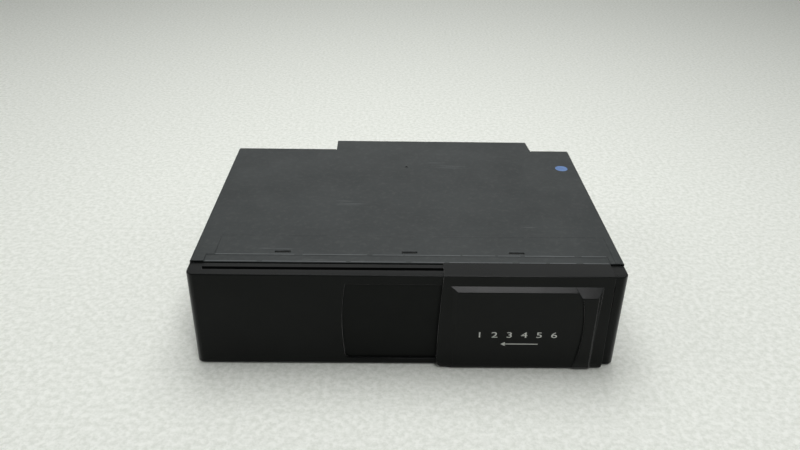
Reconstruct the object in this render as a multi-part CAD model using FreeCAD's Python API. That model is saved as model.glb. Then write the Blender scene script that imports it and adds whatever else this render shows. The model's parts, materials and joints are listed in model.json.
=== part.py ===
"""Car CD changer: a flat steel case with a moulded front, a sliding door, a six-tray magazine and the player.

Millimetres. The drawing frame has +X to the right seen from the front, +Y into the case and +Z up, with Y = 0
on the bezel's front plane and Z = 0 on the underside. Every solid is moved by SHIFT when it is written, so
that the origin of the files is the centre of the whole object's footprint.
"""
import FreeCAD, Part
import math
import os

# ---------------------------------------- disc, trays and magazine
disc_diameter = 120.0
disc_sheet = 1.2
disc_recess = 0.8
tray_count = 6
tray_pitch = 4.6
tray_sheet = 1.4
tray_rim = 3.4                # in front of the disc and behind it
tray_disc_inset = 2.0         # from the tray's left edge to the disc
tray_side_rim = 3.9
tray_corner_radius = 4.0
tray_play = 0.2
tray_inset = 1.0              # from the magazine's open left side
tray_side_gap = 0.6
tray_front_gap = 2.8
tray_rear_gap = 3.4
hub_radius = 22.0
pull_lip = 1.5                # lip of the tray that the transfer hook pulls
pull_notch = 3.0
pull_depth = 6.0
pull_neck_depth = 3.0
magazine_wall = 1.5
magazine_front_wall = 2.5
magazine_front = 6.3
magazine_corner_radius = 1.2
magazine_travel = 3.0
magazine_headroom = 17.6      # up to the cover's top face
magazine_side_room = 10.5     # to the case's right face
magazine_rear_room = 32.7     # to the cover's rear edge
shelf_sheet = 1.2
shelf_reach = 1.6             # of each shelf under its tray
grip_inset = 44.0
grip_height_inset = 7.0
grip_depth = 1.2

# ---------------------------------------- mechanism frame and lift
frame_bottom = 4.5
frame_sheet = 1.2
frame_side_room = 5.5         # between the frame and the case's left face
frame_right_room = 7.5
frame_front_gap = 0.6         # behind the bezel
frame_tail = 16.0             # behind the rear bay wall
bay_wall_top_margin = 7.7     # above the pins' highest place
bay_wall_dip = 4.5
bay_wall_dip_left = 30.0
bay_wall_dip_right = 12.0
bay_wall_right_gap = 3.0      # between the bay walls and the eject button
boss_radius = 4.0
boss_inset = 12.0
boss_front_y = 30.0
boss_rear_inset = 17.2
plate_gap = 0.2               # between neighbouring upright plates
cam_sheet = 1.0
cam_margin = 4.0
cam_tie = 9.0
pin_radius = 1.5
pin_gap = 0.15
pin_left_inset = 8.0          # from the platform's left end
pin_spacing = 45.0
pin_reach = 0.6               # beyond the bay wall
cam_pin_drop = 8.0            # below the first tray's plane
rack_y = 66.0
rack_width = 6.0
gear_module = 0.8
gear_face = 1.4
gear_backlash = 0.16
pinion_inset = 20.0           # from the platform's left end
pinion_teeth = 15
wheel_teeth = 30
wheel_angle = 215.0           # from the pinion, degrees
motor_teeth = 10
gear_pin_radius = 1.5
running_gap = 0.05            # round pins and shafts
motor_radius = 8.0
motor_height = 13.0
motor_edge_gap = 1.0          # between the motor and its neighbours
motor_shaft_radius = 1.0
motor_boss_radius = 2.6
bracket_foot_half = 7.0
bracket_height = 8.0
bracket_ring_wall = 1.2
platform_length = 89.5
platform_sheet = 1.0
platform_gap = 2.5            # between the platform and the magazine
platform_rise = 0.7           # above the gears
platform_flange_drop = 3.0
lever_room = 14.5             # corner of the lift that clears the latch lever, from its right end
lever_room_depth = 16.0

# ---------------------------------------- player
spindle_inset = 16.5          # from the platform's right end
damper_height = 4.4
damper_radius = 4.0
damper_waist = 1.0
damper_left_inset = 9.0
damper_spindle_gap = 5.0
damper_offset = 41.0          # either side of the disc's centre line
player_sheet = 1.2
player_end_inset = 1.0
player_half_depth = 46.0
player_drop = 6.7             # of the plate's top below the first tray's plane
disc_plane_drop = 0.6         # of the turntable's face below the first tray's plane
rod_radius = 1.5
rod_drop = 2.0                # below the player's plate
rod_offset = 19.0             # either side of the disc's centre line
rod_left_inset = 2.0
rod_spindle_gap = 14.0
rod_tab = 2.0
rod_tab_half = 3.0
lens_offset = 25.0            # from the spindle at rest
lens_radius = 3.3
lens_ring_height = 1.9
lens_well_depth = 4.4
sled_travel = 34.0
sled_left = 9.0               # from the lens
sled_right = 7.0
sled_end_gap = 1.0
sled_window_half = 25.0
tower_half = 6.0
tower_half_depth = 9.0
thread_pitch = 3.0
thread_depth = 0.4
sled_module = 0.5
screw_teeth = 18
sled_pinion_teeth = 11
sled_gear_face = 1.4
sled_gear_gap = 1.2           # from the rod's end
sled_gear_room = 0.6
sled_motor_rise = 3.4
sled_motor_radius = 5.2
sled_motor_length = 12.0
sled_shaft_radius = 0.75
spindle_motor_radius = 12.0
spindle_motor_height = 5.0
spindle_boss_radius = 3.8
spindle_radius = 1.0
turntable_radius = 14.5
turntable_sheet = 2.4
turntable_neck_radius = 5.0
cone_radius = 7.4
cone_taper = 1.8
hinge_inset = 3.6
hinge_rise = 5.6
hinge_pin_radius = 1.5
hinge_half = 42.0
hinge_ear = 2.4
clamp_sheet = 1.2
clamp_rise = 1.0              # of the arm above its hinge
clamp_half_root = 26.0
clamp_half_tip = 13.0
clamp_open_angle = 4.0
clamp_hole_radius = 8.0
puck_radius = 13.5
puck_sheet = 2.2
puck_neck_radius = 4.9
puck_cap_margin = 2.6
spring_wire = 0.35
spring_coils = 5
spring_gap = 0.1

# ---------------------------------------- disc transfer
belt_inset = 8.0              # from the platform's rear flange to the pulleys' line
belt_sheet = 0.8
belt_height = 3.0
belt_gap = 0.1
pulley_radius = 4.0
pulley_rim = 0.6
pulley_rim_height = 0.8
pulley_height = 5.0
pulley_end_inset = 5.5
pulley_pin_radius = 1.0
transfer_motor_radius = 4.8
transfer_motor_height = 5.4
transfer_post_radius = 1.4
hook_inset = 6.5              # from the platform's right end
hook_length = 6.0
hook_sheet = 1.6
hook_head = 2.0
hook_half_height = 1.6

# ---------------------------------------- eject
mouth_front = 4.0
mouth_wall = 2.0
mouth_gap = 0.5
button_width = 6.4
button_height = 17.0
button_gap = 0.3
button_spacing = 1.2          # between the button and the magazine's slot
button_proud = 0.4
button_flange = 0.8
button_travel = 2.5
button_stem = 1.2
lever_sheet = 1.5
lever_pin_radius = 1.5
lever_post_radius = 2.6
lever_pin_inset = 9.0         # from the magazine's left side
lever_pin_y = 15.0
lever_front_reach = 2.65
lever_reach = 13.0            # from the pin to the hook
lever_hook = 1.1              # into the magazine's floor
lever_gap = 0.35
ejector_pin_inset = 74.0      # from the magazine's left side
ejector_pin_setback = 9.0     # behind the magazine
ejector_pin_radius = 2.0
ejector_post_radius = 4.0
ejector_reach = 40.0
ejector_sheet = 3.0
ejector_height = 8.0
ejector_nose_radius = 2.2
seat_gap = 0.3                # between a moving piece and what it rests against

# ---------------------------------------- case
cover_sheet = 0.8
chassis_sheet = 1.0
sheet_gap = 0.2               # between sheet-metal shells, and between them and the bezel
cover_bend_radius = 1.2
cover_skirt_bottom = 1.6
step_depth = 0.25             # shallow pressed step along the cover's front
step_rear = 43.5
step_inset_left = 13.2
step_inset_right = 5.2
step_slope = 0.4              # run of the step's pressed wall
nose_depth = 7.6              # lowered strip along the cover's front edge
nose_drop = 0.35
nose_slope = 0.5
nose_inset = 8.2
cover_front_chamfer = 0.35
hook_slot_y = 24.0
hook_slot_length = 9.3
hook_slot_width = 2.0
hook_slot_x = (-74.5, 1.2, 65.4)
gauge_hole_x = 1.3
gauge_hole_inset = 30.7       # from the cover's rear edge
gauge_hole_radius = 0.9
rear_flange_drop = 11.0
screw_radius = 1.5
screw_head_radius = 2.8
screw_head_height = 1.4
screw_head_edge = 0.5
screw_gap = 0.05              # around a screw's shank
screw_slot_width = 0.6
screw_slot_depth = 0.8
screw_slot_margin = 1.1
flange_screw_inset = 15.5
flange_screw_offset = 13.7    # from the rear housing's left side
flange_screw_drop = 6.0       # below the top
flange_screw_length = 5.0
bracket_hole_y = (40.0, 150.0)
bracket_hole_z = (18.0, 48.0)
bracket_hole_radius = 2.1
bracket_hole_clearance = 3.2  # in the cover, round the threaded holes
bracket_nut_radius = 3.8
bracket_nut_height = 3.0
dial_y = 95.0
dial_z = 33.0
dial_radius = 8.0
dial_shaft_radius = 5.1
dial_keeper_radius = 6.5
dial_keeper_height = 1.4
dial_gap = 0.4
dial_recess = 0.2
dial_slot_width = 1.8
dial_slot_depth = 0.45
dial_slot_margin = 2.0

# ---------------------------------------- rear interface
housing_depth = 17.5
housing_left_inset = 75.2     # from the case's left face
housing_right_inset = 29.3
housing_taper = 1.5
housing_wall = 1.2
housing_bottom = 6.0
housing_top_gap = 0.1
cable_window_inset = 22.2
cable_window_z = (20.0, 48.0)
vent_count = 10
vent_pitch = 4.2
vent_width = 1.6
vent_inset = 14.3
vent_z = (42.0, 56.0)
housing_screw_left_inset = 8.3
housing_screw_right_inset = 12.2
housing_screw_z = (12.0, 52.0)
housing_screw_length = 4.0
socket_wall = 1.4
socket_floor = 2.0
power_inset = 40.2            # from the housing's right side
power_width = 30.0
power_height = 13.0
optical_spacing = 48.0
optical_width = 24.0
optical_height = 15.0
socket_z = 26.0
socket_depth = 14.0
contact_count = 7             # in each of two rows
contact_pitch = 3.0
contact_row_offset = 2.2
contact_width = 0.8
contact_reach = 6.0
ferrule_offset = 4.5
ferrule_radius = 2.4
ferrule_bore = 1.3
ferrule_length = 5.0
interface_board_sheet = 1.2
interface_board_inset = 5.0   # from the housing's screws
interface_board_drop = 4.0

# ---------------------------------------- bezel, door and shutter
bezel_depth = 12.5
shadow_gap = 0.5              # dark line between the bezel and the sheet metal
neck_inset = 1.2              # depth of that line, below the collar's faces
bezel_corner_radius = 5.0
bezel_side_radius = 1.0       # seen from the front
bezel_edge_radius = 0.8
end_block_left_width = 7.5
end_block_right_width = 7.9
collar_depth = 13.5           # part of the bezel inside the sheet metal
collar_wall = 1.8
collar_overlap = 0.5
fascia_wall = 1.4
opening_left = -36.4          # at the top: the left edge bows out from here
opening_bow = 2.2
opening_bottom = 4.9
floor_gap = 0.3               # between the room behind the opening and the mechanism frame
opening_top_drop = 7.5
opening_corner = 4.3
groove_front = 6.0
groove_width = 2.6
groove_depth = 2.0
groove_end_gap = 0.6
clip_length = 8.0             # tongues that hook into the cover's slots
clip_width = 1.0
clip_drop = 0.4
slide_gap = 0.2               # between the door and its rails

door_width = 100.4
door_side_gap = 0.8
door_underside = 0.1
door_flange = 1.1
door_lower_flange = 0.8
door_front_wall = 1.5
door_front_gap = 0.3
door_corner = 4.4
door_small_corner = 1.8
door_lean = 2.2               # how far the left edge leans in towards the top
door_end_gap = 1.6
band_drop = 7.0               # plain band along the door's top
panel_proud = 2.6             # raised panel, in front of the band
panel_inset = 5.9
panel_bevel = 4.2
panel_foot = 4.2
ridge_proud = 4.8             # finger ridge, in front of the band
ridge_left_inset = 17.9       # from the door's right side
ridge_top_inset = 22.8
ridge_right_inset = 9.2
ridge_bow = 2.8
ridge_foot_lean = 1.0
ridge_bow_height = 25.0
ridge_foot = 9.0
ridge_flank = 3.6
hook_gap = 0.4                # between the door's hooks and their grooves
lug_width = 1.0
lug_z = (22.0, 40.0)

shutter_wall = 1.4
shutter_gap = 0.15
shutter_fascia_lap = 4.4      # behind the fascia
shutter_door_lap = 6.2        # behind the door
shutter_lap = 1.35            # into the bezel's channels above and below
shutter_rib = 1.6
shutter_rib_height_inset = 4.0
shutter_end_gap = 1.2

# ---------------------------------------- control board
board_sheet = 1.6
board_rise = 3.0
board_left_inset = 22.0       # from the magazine's left side
board_right_inset = 5.0
board_front_inset = 8.0       # behind the bezel
board_rear_inset = 5.3
board_hole_inset = 5.0
spacer_radius = 2.6
spacer_stud_radius = 1.5
spacer_stud_gap = 0.1
spacer_stud_reach = 1.4
chip_height = 2.0
chips = ((14, 26, 14, 14), (42, 30, 20, 10), (74, 28, 16, 16), (20, 62, 22, 8), (58, 64, 12, 12))
capacitor_radius = 3.0
capacitor_height = 5.0
capacitor_places = ((36, 14), (46, 14), (66, 52), (78, 54), (50, 84), (62, 84), (74, 86))

# ---------------------------------------- worked out: heights, from the frame upwards
frame_top = frame_bottom + frame_sheet
room_bottom = frame_bottom - floor_gap
gear_bottom = frame_top + plate_gap
gear_top = gear_bottom + gear_face
rack_bottom = gear_bottom
rack_top = rack_bottom + cam_sheet + plate_gap
motor_bottom = gear_top + 2 * plate_gap
platform_bottom = gear_top + platform_rise
platform_top = platform_bottom + platform_sheet
player_bottom = platform_top + damper_height
player_top = player_bottom + player_sheet
first_level = player_top + player_drop
lift_travel = (tray_count - 1) * tray_pitch
disc_plane = first_level - disc_plane_drop
pin_z = first_level - cam_pin_drop
bay_wall_top = pin_z + lift_travel + bay_wall_top_margin
rod_z = player_bottom - rod_drop
hinge_z = first_level + hinge_rise
puck_bottom = disc_plane + disc_sheet + 0.1
magazine_bottom = first_level - tray_pitch / 2 - magazine_wall
magazine_height = 2 * magazine_wall + tray_count * tray_pitch + 2 * tray_play
magazine_top = magazine_bottom + magazine_height
case_height = magazine_top + magazine_headroom
cover_underside = case_height - cover_sheet
board_bottom = frame_top + board_rise
board_top = board_bottom + board_sheet
housing_top = cover_underside - housing_top_gap
rail_top = case_height - door_flange - slide_gap
rail_bottom = door_underside + door_lower_flange + slide_gap
opening_top = case_height - opening_top_drop
band_bottom = case_height - band_drop
button_bottom = magazine_bottom + (magazine_height - button_height) / 2
lever_bottom = magazine_bottom
lever_top = lever_bottom + lever_sheet
ejector_bottom = magazine_bottom + ejector_height

# ---------------------------------------- worked out: widths, from the contents outwards
magazine_width = (tray_inset + tray_disc_inset + disc_diameter + tray_side_rim + tray_side_gap
                  + magazine_wall)
motor_room = 2 * motor_radius + 2 * motor_edge_gap
case_width = (frame_side_room + motor_room + platform_length + platform_gap + magazine_width
              + magazine_side_room)
half_width = case_width / 2
skirt_inner = half_width - cover_sheet
chassis_outer = skirt_inner - sheet_gap
chassis_inner = chassis_outer - chassis_sheet
collar_outer = chassis_inner - sheet_gap
collar_inner = collar_outer - collar_wall
magazine_right = half_width - magazine_side_room
magazine_left = magazine_right - magazine_width
platform_right = magazine_left - platform_gap
platform_left = platform_right - platform_length
frame_left = platform_left - motor_room
frame_right = half_width - frame_right_room
boss_x = (frame_left + boss_inset, frame_right - boss_inset)
tray_left = magazine_left + tray_inset
tray_right = magazine_right - magazine_wall - tray_side_gap
home_x = tray_left + tray_disc_inset + disc_diameter / 2
spindle_x = platform_right - spindle_inset
transfer_travel = home_x - spindle_x
pin_x = (platform_left + pin_left_inset, platform_left + pin_left_inset + pin_spacing)
cam_left = pin_x[0] - cam_margin
cam_right = pin_x[1] + lift_travel + cam_margin
pinion_x = platform_left + pinion_inset
wheel_gap = (pinion_teeth + wheel_teeth) * gear_module / 2
wheel_x = pinion_x + wheel_gap * math.cos(math.radians(wheel_angle))
motor_x = platform_left - motor_edge_gap - motor_radius
motor_gap = (motor_teeth + wheel_teeth) * gear_module / 2
motor_angle = math.pi - math.acos((wheel_x - motor_x) / motor_gap)
lever_room_x = platform_right - lever_room
damper_x = (platform_left + damper_left_inset, spindle_x - damper_spindle_gap)
rod_x = (platform_left + rod_left_inset, spindle_x - rod_spindle_gap)
lens_x = spindle_x - lens_offset
sled_window = (lens_x - sled_left - sled_travel - sled_end_gap,
               lens_x + sled_right + 2.5 * sled_end_gap)
sled_gear_x = rod_x[1] + sled_gear_gap
hinge_x = platform_left + hinge_inset
pulley_x = (platform_left + pulley_end_inset, platform_right - pulley_end_inset)
hook_x = platform_right - hook_inset - hook_length
button_left = magazine_left - mouth_gap - button_spacing - button_width
button_right = button_left + button_width
bay_right = button_left - bay_wall_right_gap
lever_pin_x = magazine_left - lever_pin_inset
ejector_pin_x = magazine_left + ejector_pin_inset
housing_left = -half_width + housing_left_inset
housing_right = half_width - housing_right_inset
flange_screw_x = (-half_width + flange_screw_inset, housing_left - flange_screw_offset,
                  half_width - flange_screw_inset)
housing_screw_x = (housing_left + housing_screw_left_inset, housing_right - housing_screw_right_inset)
cable_window_x = (housing_left + cable_window_inset, housing_right - cable_window_inset)
vent_left = housing_left + vent_inset
power_x = housing_right - power_inset
optical_x = power_x - optical_spacing
end_block_left = -half_width + end_block_left_width
end_block_right = half_width - end_block_right_width
opening_right = end_block_right + seat_gap
door_right = end_block_right - door_side_gap
door_left = door_right - door_width
door_travel = door_left + door_lean - end_block_left - door_end_gap
panel_left = door_left + panel_inset
ridge_left = door_right - ridge_left_inset
ridge_top_left = door_right - ridge_top_inset
ridge_right = door_right - ridge_right_inset
shutter_left = opening_left - opening_bow - shutter_fascia_lap
shutter_right = door_left + shutter_door_lap
shutter_travel = shutter_right - (door_right - lug_width - door_travel) + shutter_end_gap
board_x = (magazine_left + board_left_inset, magazine_right - board_right_inset)

# ---------------------------------------- worked out: depths, from the front backwards
tray_depth = disc_diameter + 2 * tray_rim
magazine_depth = magazine_front_wall + tray_front_gap + tray_depth + tray_rear_gap + magazine_wall
magazine_rear = magazine_front + magazine_depth
bay_front = magazine_front + magazine_front_wall
tray_front = bay_front + tray_front_gap
tray_rear = tray_front + tray_depth
disc_y = (tray_front + tray_rear) / 2
case_depth = magazine_rear + magazine_rear_room
chassis_rear = case_depth - sheet_gap
housing_front = case_depth
housing_rear = case_depth + housing_depth
bezel_rear = bezel_depth + collar_depth
cover_front = bezel_depth + shadow_gap
nose_rear = cover_front + nose_depth
door_flange_reach = bezel_depth
bay_rear = 2 * disc_y - bay_front
frame_rear = bay_rear + frame_tail
boss_y = (boss_front_y, frame_rear - boss_rear_inset)
cam_front = bay_front + frame_sheet + plate_gap
flange_front = cam_front + cam_sheet + 1.5 * plate_gap
flange_rear = 2 * disc_y - flange_front
lever_room_y = bezel_rear + lever_room_depth
pinion_y = rack_y - pinion_teeth * gear_module / 2
wheel_y = pinion_y + wheel_gap * math.sin(math.radians(wheel_angle))
motor_y = wheel_y + motor_gap * math.sin(motor_angle)
guide_y = disc_y - rod_offset
screw_y = disc_y + rod_offset
sled_axis_gap = (screw_teeth + sled_pinion_teeth) * sled_module / 2
sled_motor_y = screw_y + math.sqrt(sled_axis_gap ** 2 - sled_motor_rise ** 2)
sled_motor_z = rod_z + sled_motor_rise
sled_gear_angle = math.atan2(sled_motor_rise, sled_motor_y - screw_y)
screw_gear_room = (screw_teeth / 2 + 2) * sled_module
belt_y = flange_rear - belt_inset
belt_outer = pulley_radius + belt_gap + belt_sheet
pulley_bottom = platform_top + seat_gap
hook_front = belt_y + belt_outer + plate_gap
band_front = -door_front_gap - door_front_wall
panel_front = band_front - panel_proud
ridge_front = band_front - ridge_proud
shutter_front = fascia_wall + shutter_gap
shutter_back = shutter_front + shutter_wall
room_front = shutter_back + shutter_gap
mouth_back = mouth_front + mouth_wall
button_front = mouth_front - button_proud
lever_front = lever_pin_y - lever_front_reach
ejector_pin_y = magazine_rear + ejector_pin_setback
gauge_hole_y = case_depth - gauge_hole_inset
board_y = (bezel_rear + board_front_inset, magazine_rear - board_rear_inset)

SHIFT = FreeCAD.Vector(0, -(housing_rear + ridge_front) / 2, 0)


# ---------------------------------------- helpers
def block(x0, x1, y0, y1, z0, z1):
    """Box between two corners."""
    return Part.makeBox(x1 - x0, y1 - y0, z1 - z0, FreeCAD.Vector(x0, y0, z0))


def upright(radius, x, y, z0, z1):
    """Cylinder with an upright axis."""
    return Part.makeCylinder(radius, z1 - z0, FreeCAD.Vector(x, y, z0), FreeCAD.Vector(0, 0, 1))


def along_x(radius, y, z, x0, x1):
    """Cylinder with its axis along X."""
    return Part.makeCylinder(radius, x1 - x0, FreeCAD.Vector(x0, y, z), FreeCAD.Vector(1, 0, 0))


def along_y(radius, x, z, y0, y1):
    """Cylinder with its axis along Y."""
    return Part.makeCylinder(radius, y1 - y0, FreeCAD.Vector(x, y0, z), FreeCAD.Vector(0, 1, 0))


def prism(points, axis, start, end):
    """Closed polygon pushed along one axis. Points hold the other two coordinates, in X, Y, Z order."""
    places = {"x": lambda a, b: FreeCAD.Vector(start, a, b),
              "y": lambda a, b: FreeCAD.Vector(a, start, b),
              "z": lambda a, b: FreeCAD.Vector(a, b, start)}
    corners = [places[axis](a, b) for a, b in points]
    push = FreeCAD.Vector(*[(end - start) * (axis == name) for name in "xyz"])
    return Part.Face(Part.makePolygon(corners + corners[:1])).extrude(push)


def front_outline(pieces, y0, y1):
    """Solid behind an outline in the front view. Each piece is two or three (x, z) points: line or arc."""
    edges = []
    for piece in pieces:
        points = [FreeCAD.Vector(x, y0, z) for x, z in piece]
        curve = Part.Arc(*points) if len(points) == 3 else Part.LineSegment(*points)
        edges.append(curve.toShape())
    return Part.Face(Part.Wire(edges)).extrude(FreeCAD.Vector(0, y1 - y0, 0))


def join(first, *others):
    """One solid out of pieces that touch or overlap."""
    return first.fuse(list(others)).removeSplitter()


def group(solids):
    """Separate solids in one node."""
    return Part.makeCompound(list(solids))


def rounded(shape, radius, wanted):
    """Fillets the edges that the test accepts, from an edge's middle point and its direction."""
    chosen = []
    for edge in shape.Edges:
        middle = edge.valueAt((edge.FirstParameter + edge.LastParameter) / 2)
        direction = edge.tangentAt(edge.FirstParameter)
        if wanted(middle, direction):
            chosen.append(edge)
    return shape.makeFillet(radius, chosen) if chosen else shape


def cross_slot(x, z, face, depth):
    """Cutter for a cross-shaped screwdriver slot in a head whose face looks along +Y."""
    reach = screw_head_radius - screw_slot_margin
    thin = screw_slot_width / 2
    return [block(x - reach, x + reach, face - depth, face + depth, z - thin, z + thin),
            block(x - thin, x + thin, face - depth, face + depth, z - reach, z + reach)]


def rear_screw(x, z, face, length):
    """Pan-head screw that enters along -Y, its head on the given face."""
    head = along_y(screw_head_radius, x, z, face, face + screw_head_height)
    head = rounded(head, screw_head_edge, lambda p, d: p.y > face + screw_head_height - 0.01)
    shank = along_y(screw_radius - screw_gap, x, z, face - length, face + 0.5)
    return join(head, shank).cut(cross_slot(x, z, face + screw_head_height, screw_slot_depth))


def involute_points(teeth, module, phase):
    """Outline of a spur gear seen along its axis, with one tooth centred on the phase angle."""
    pitch_radius = teeth * module / 2
    base_radius = pitch_radius * math.cos(math.radians(20))
    tip_radius = pitch_radius + 0.9 * module
    root_radius = pitch_radius - 1.2 * module
    low = max(base_radius, root_radius)
    half_tooth = (math.pi * module - gear_backlash) / 4 / pitch_radius
    flank_offset = math.tan(math.radians(20)) - math.radians(20)
    flank = []
    for step in range(5):
        radius = low + (tip_radius - low) * step / 4
        roll = math.sqrt(max(0.0, (radius / base_radius) ** 2 - 1))
        flank.append((radius, half_tooth + flank_offset - (roll - math.atan(roll))))
    if root_radius < low:
        flank.insert(0, (root_radius, flank[0][1]))
    points = []
    for tooth in range(teeth):
        centre = phase + 2 * math.pi * tooth / teeth
        points += [(r, centre - a) for r, a in flank] + [(r, centre + a) for r, a in reversed(flank)]
    return [(r * math.cos(a), r * math.sin(a)) for r, a in points]


def meshed_phase(teeth, phase, other_teeth, angle):
    """Phase of a gear that meshes with another one that lies towards it at the given angle."""
    past_tooth = (angle - phase) % (2 * math.pi / teeth)
    return angle + math.pi + (math.pi + past_tooth * teeth) / other_teeth


def upright_gear(teeth, x, y, phase, bore):
    """Spur gear of the lift drive."""
    points = [(x + a, y + b) for a, b in involute_points(teeth, gear_module, phase)]
    return prism(points, "z", gear_bottom, gear_top).cut(upright(bore, x, y, gear_bottom - 1, gear_top + 1))


def sled_gear(teeth, y, z, phase):
    """Spur gear of the sled drive, with its axis along X."""
    points = [(y + a, z + b) for a, b in involute_points(teeth, sled_module, phase)]
    return prism(points, "x", sled_gear_x, sled_gear_x + sled_gear_face)


# ---------------------------------------- case
def side_holes(radius, start, end):
    """Cutters for the bracket holes of one side, from one X to another."""
    return [along_x(radius, y, z, start, end) for y in bracket_hole_y for z in bracket_hole_z]


def top_cover():
    """Pressed steel cover: top with a shallow front step, two skirts and a tongue over the rear housing."""
    outer = block(-half_width, half_width, cover_front, case_depth, cover_skirt_bottom, case_height)
    outer = rounded(outer, cover_bend_radius, lambda p, d: abs(d.y) > 0.9 and p.z > case_height - 0.1)
    inner = block(-skirt_inner, skirt_inner, cover_front - 1, case_depth + 1, 0, cover_underside)
    inner = rounded(inner, cover_bend_radius - cover_sheet,
                    lambda p, d: abs(d.y) > 0.9 and p.z > cover_underside - 0.1)
    tongue = prism([(housing_left, case_depth - 1), (housing_left, housing_rear),
                    (housing_right - housing_taper, housing_rear), (housing_right, case_depth - 1)],
                   "z", cover_underside, case_height)
    flanges = [block(x0, x1, case_depth - 0.1, case_depth - 0.1 + cover_sheet, case_height - rear_flange_drop,
                     case_height)
               for x0, x1 in ((-skirt_inner, housing_left - 0.6), (housing_right + 0.6, skirt_inner))]
    nose_half = half_width - nose_inset
    step_z = case_height - step_depth
    nose_z = step_z - nose_drop
    shoulder_left, shoulder_right = half_width - step_inset_left, half_width - step_inset_right
    nose = block(-nose_half, nose_half, cover_front, nose_rear, cover_underside - nose_drop, nose_z)
    chamfer_z = nose_z - cover_front_chamfer
    cuts = [prism([(cover_front - 1, chamfer_z), (cover_front, chamfer_z),
                   (cover_front + cover_front_chamfer, nose_z), (nose_rear - nose_slope, nose_z),
                   (nose_rear, step_z), (nose_rear, case_height + 1), (cover_front - 1, case_height + 1)],
                  "x", -nose_half, nose_half),
            prism([(cover_front - 1, step_z), (step_rear - step_slope, step_z), (step_rear, case_height),
                   (step_rear, case_height + 1), (cover_front - 1, case_height + 1)], "x",
                  -shoulder_left, shoulder_right),
            upright(gauge_hole_radius, gauge_hole_x, gauge_hole_y, cover_underside - 1, case_height + 1)]
    for x in hook_slot_x:
        cuts.append(block(x - hook_slot_length / 2, x + hook_slot_length / 2,
                          hook_slot_y - hook_slot_width / 2,
                          hook_slot_y + hook_slot_width / 2, cover_underside - 1, case_height + 1))
    cuts += side_holes(bracket_hole_clearance, -half_width - 1, half_width + 1)
    cuts.append(along_x(dial_radius + dial_gap, dial_y, dial_z, -half_width - 1, half_width + 1))
    for x in flange_screw_x:
        cuts.append(along_y(screw_radius, x, case_height - flange_screw_drop, case_depth - 1, case_depth + 2))
    return join(outer.cut(inner), nose, tongue, *flanges).cut(cuts)


def bottom_chassis():
    """Folded steel pan: floor, two sides and the rear wall, with pressed bosses under the mechanism."""
    floor = block(-chassis_outer, chassis_outer, cover_front, chassis_rear, 0, chassis_sheet)
    sides = [block(min(a, b), max(a, b), cover_front + sheet_gap, chassis_rear, 0, cover_underside - 2.0)
             for a, b in ((-chassis_outer, -chassis_inner), (chassis_inner, chassis_outer))]
    rear = block(-chassis_outer, chassis_outer, chassis_rear - chassis_sheet, chassis_rear, 0,
                 cover_underside - sheet_gap)
    bosses = [upright(boss_radius, x, y, 0, frame_bottom) for x in boss_x for y in boss_y]
    cuts = []
    for x in boss_x:
        for y in boss_y:
            cuts.append(upright(screw_radius, x, y, -1, frame_bottom + 1))
            cuts.append(upright(screw_head_radius + 0.3, x, y, -1, screw_head_height + 0.2))
    cuts += side_holes(bracket_hole_radius, -half_width, half_width)
    cuts.append(along_x(dial_shaft_radius + dial_gap, dial_y, dial_z, -half_width, half_width))
    for x in flange_screw_x:
        cuts.append(along_y(screw_radius, x, case_height - flange_screw_drop, case_depth - 4, case_depth))
    for x in housing_screw_x:
        for z in housing_screw_z:
            cuts.append(along_y(screw_radius, x, z, case_depth - 4, case_depth))
    cuts.append(block(*cable_window_x, case_depth - 4, case_depth, *cable_window_z))
    return join(floor, rear, *sides, *bosses).cut(cuts)


def chassis_screws():
    """Four screws that hold the mechanism frame on the bosses, entered from below."""
    screws = []
    reach = screw_head_radius - screw_slot_margin
    thin = screw_slot_width / 2
    for x in boss_x:
        for y in boss_y:
            head = upright(screw_head_radius, x, y, 0.2, screw_head_height + 0.2)
            shank = upright(screw_radius - screw_gap, x, y, 0.3, frame_top)
            slots = [block(x - reach, x + reach, y - thin, y + thin, 0, 0.2 + screw_slot_depth),
                     block(x - thin, x + thin, y - reach, y + reach, 0, 0.2 + screw_slot_depth)]
            screws.append(join(head, shank).cut(slots))
    return group(screws)


def case_screws():
    """Screws of the cover's rear flanges and of the rear housing."""
    flange_face = case_depth - 0.1 + cover_sheet
    screws = [rear_screw(x, case_height - flange_screw_drop, flange_face,
                         flange_screw_length) for x in flange_screw_x]
    inner_face = housing_front + housing_wall
    screws += [rear_screw(x, z, inner_face,
                          housing_screw_length) for x in housing_screw_x for z in housing_screw_z]
    return group(screws)


def bracket_nuts():
    """Clinch nuts behind the four bracket holes of each side."""
    nuts = []
    for y in bracket_hole_y:
        for z in bracket_hole_z:
            for x0, x1 in ((-chassis_inner, -chassis_inner + bracket_nut_height),
                           (chassis_inner - bracket_nut_height, chassis_inner)):
                bore = along_x(bracket_hole_radius, y, z, x0 - 1, x1 + 1)
                nuts.append(along_x(bracket_nut_radius, y, z, x0, x1).cut(bore))
    return group(nuts)


def angle_dial(side):
    """Slotted selector for level or upright fitting, one on each side of the case."""
    face = half_width - dial_recess
    disc = along_x(dial_radius, dial_y, dial_z, chassis_outer + 0.05, face)
    disc = rounded(disc, 0.2, lambda p, d: p.x > face - 0.01)
    shaft = along_x(dial_shaft_radius, dial_y, dial_z, chassis_inner - 0.5, face - 0.3)
    keeper_face = chassis_inner - 0.05
    keeper = along_x(dial_keeper_radius, dial_y, dial_z, keeper_face - dial_keeper_height, keeper_face)
    slot = block(face - dial_slot_depth, face + 1, dial_y - dial_radius + dial_slot_margin,
                 dial_y + dial_radius - dial_slot_margin, dial_z - dial_slot_width / 2,
                 dial_z + dial_slot_width / 2)
    dial = join(disc, shaft, keeper).cut(slot)
    return dial if side > 0 else dial.mirror(FreeCAD.Vector(0, 0, 0), FreeCAD.Vector(1, 0, 0))


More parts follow.
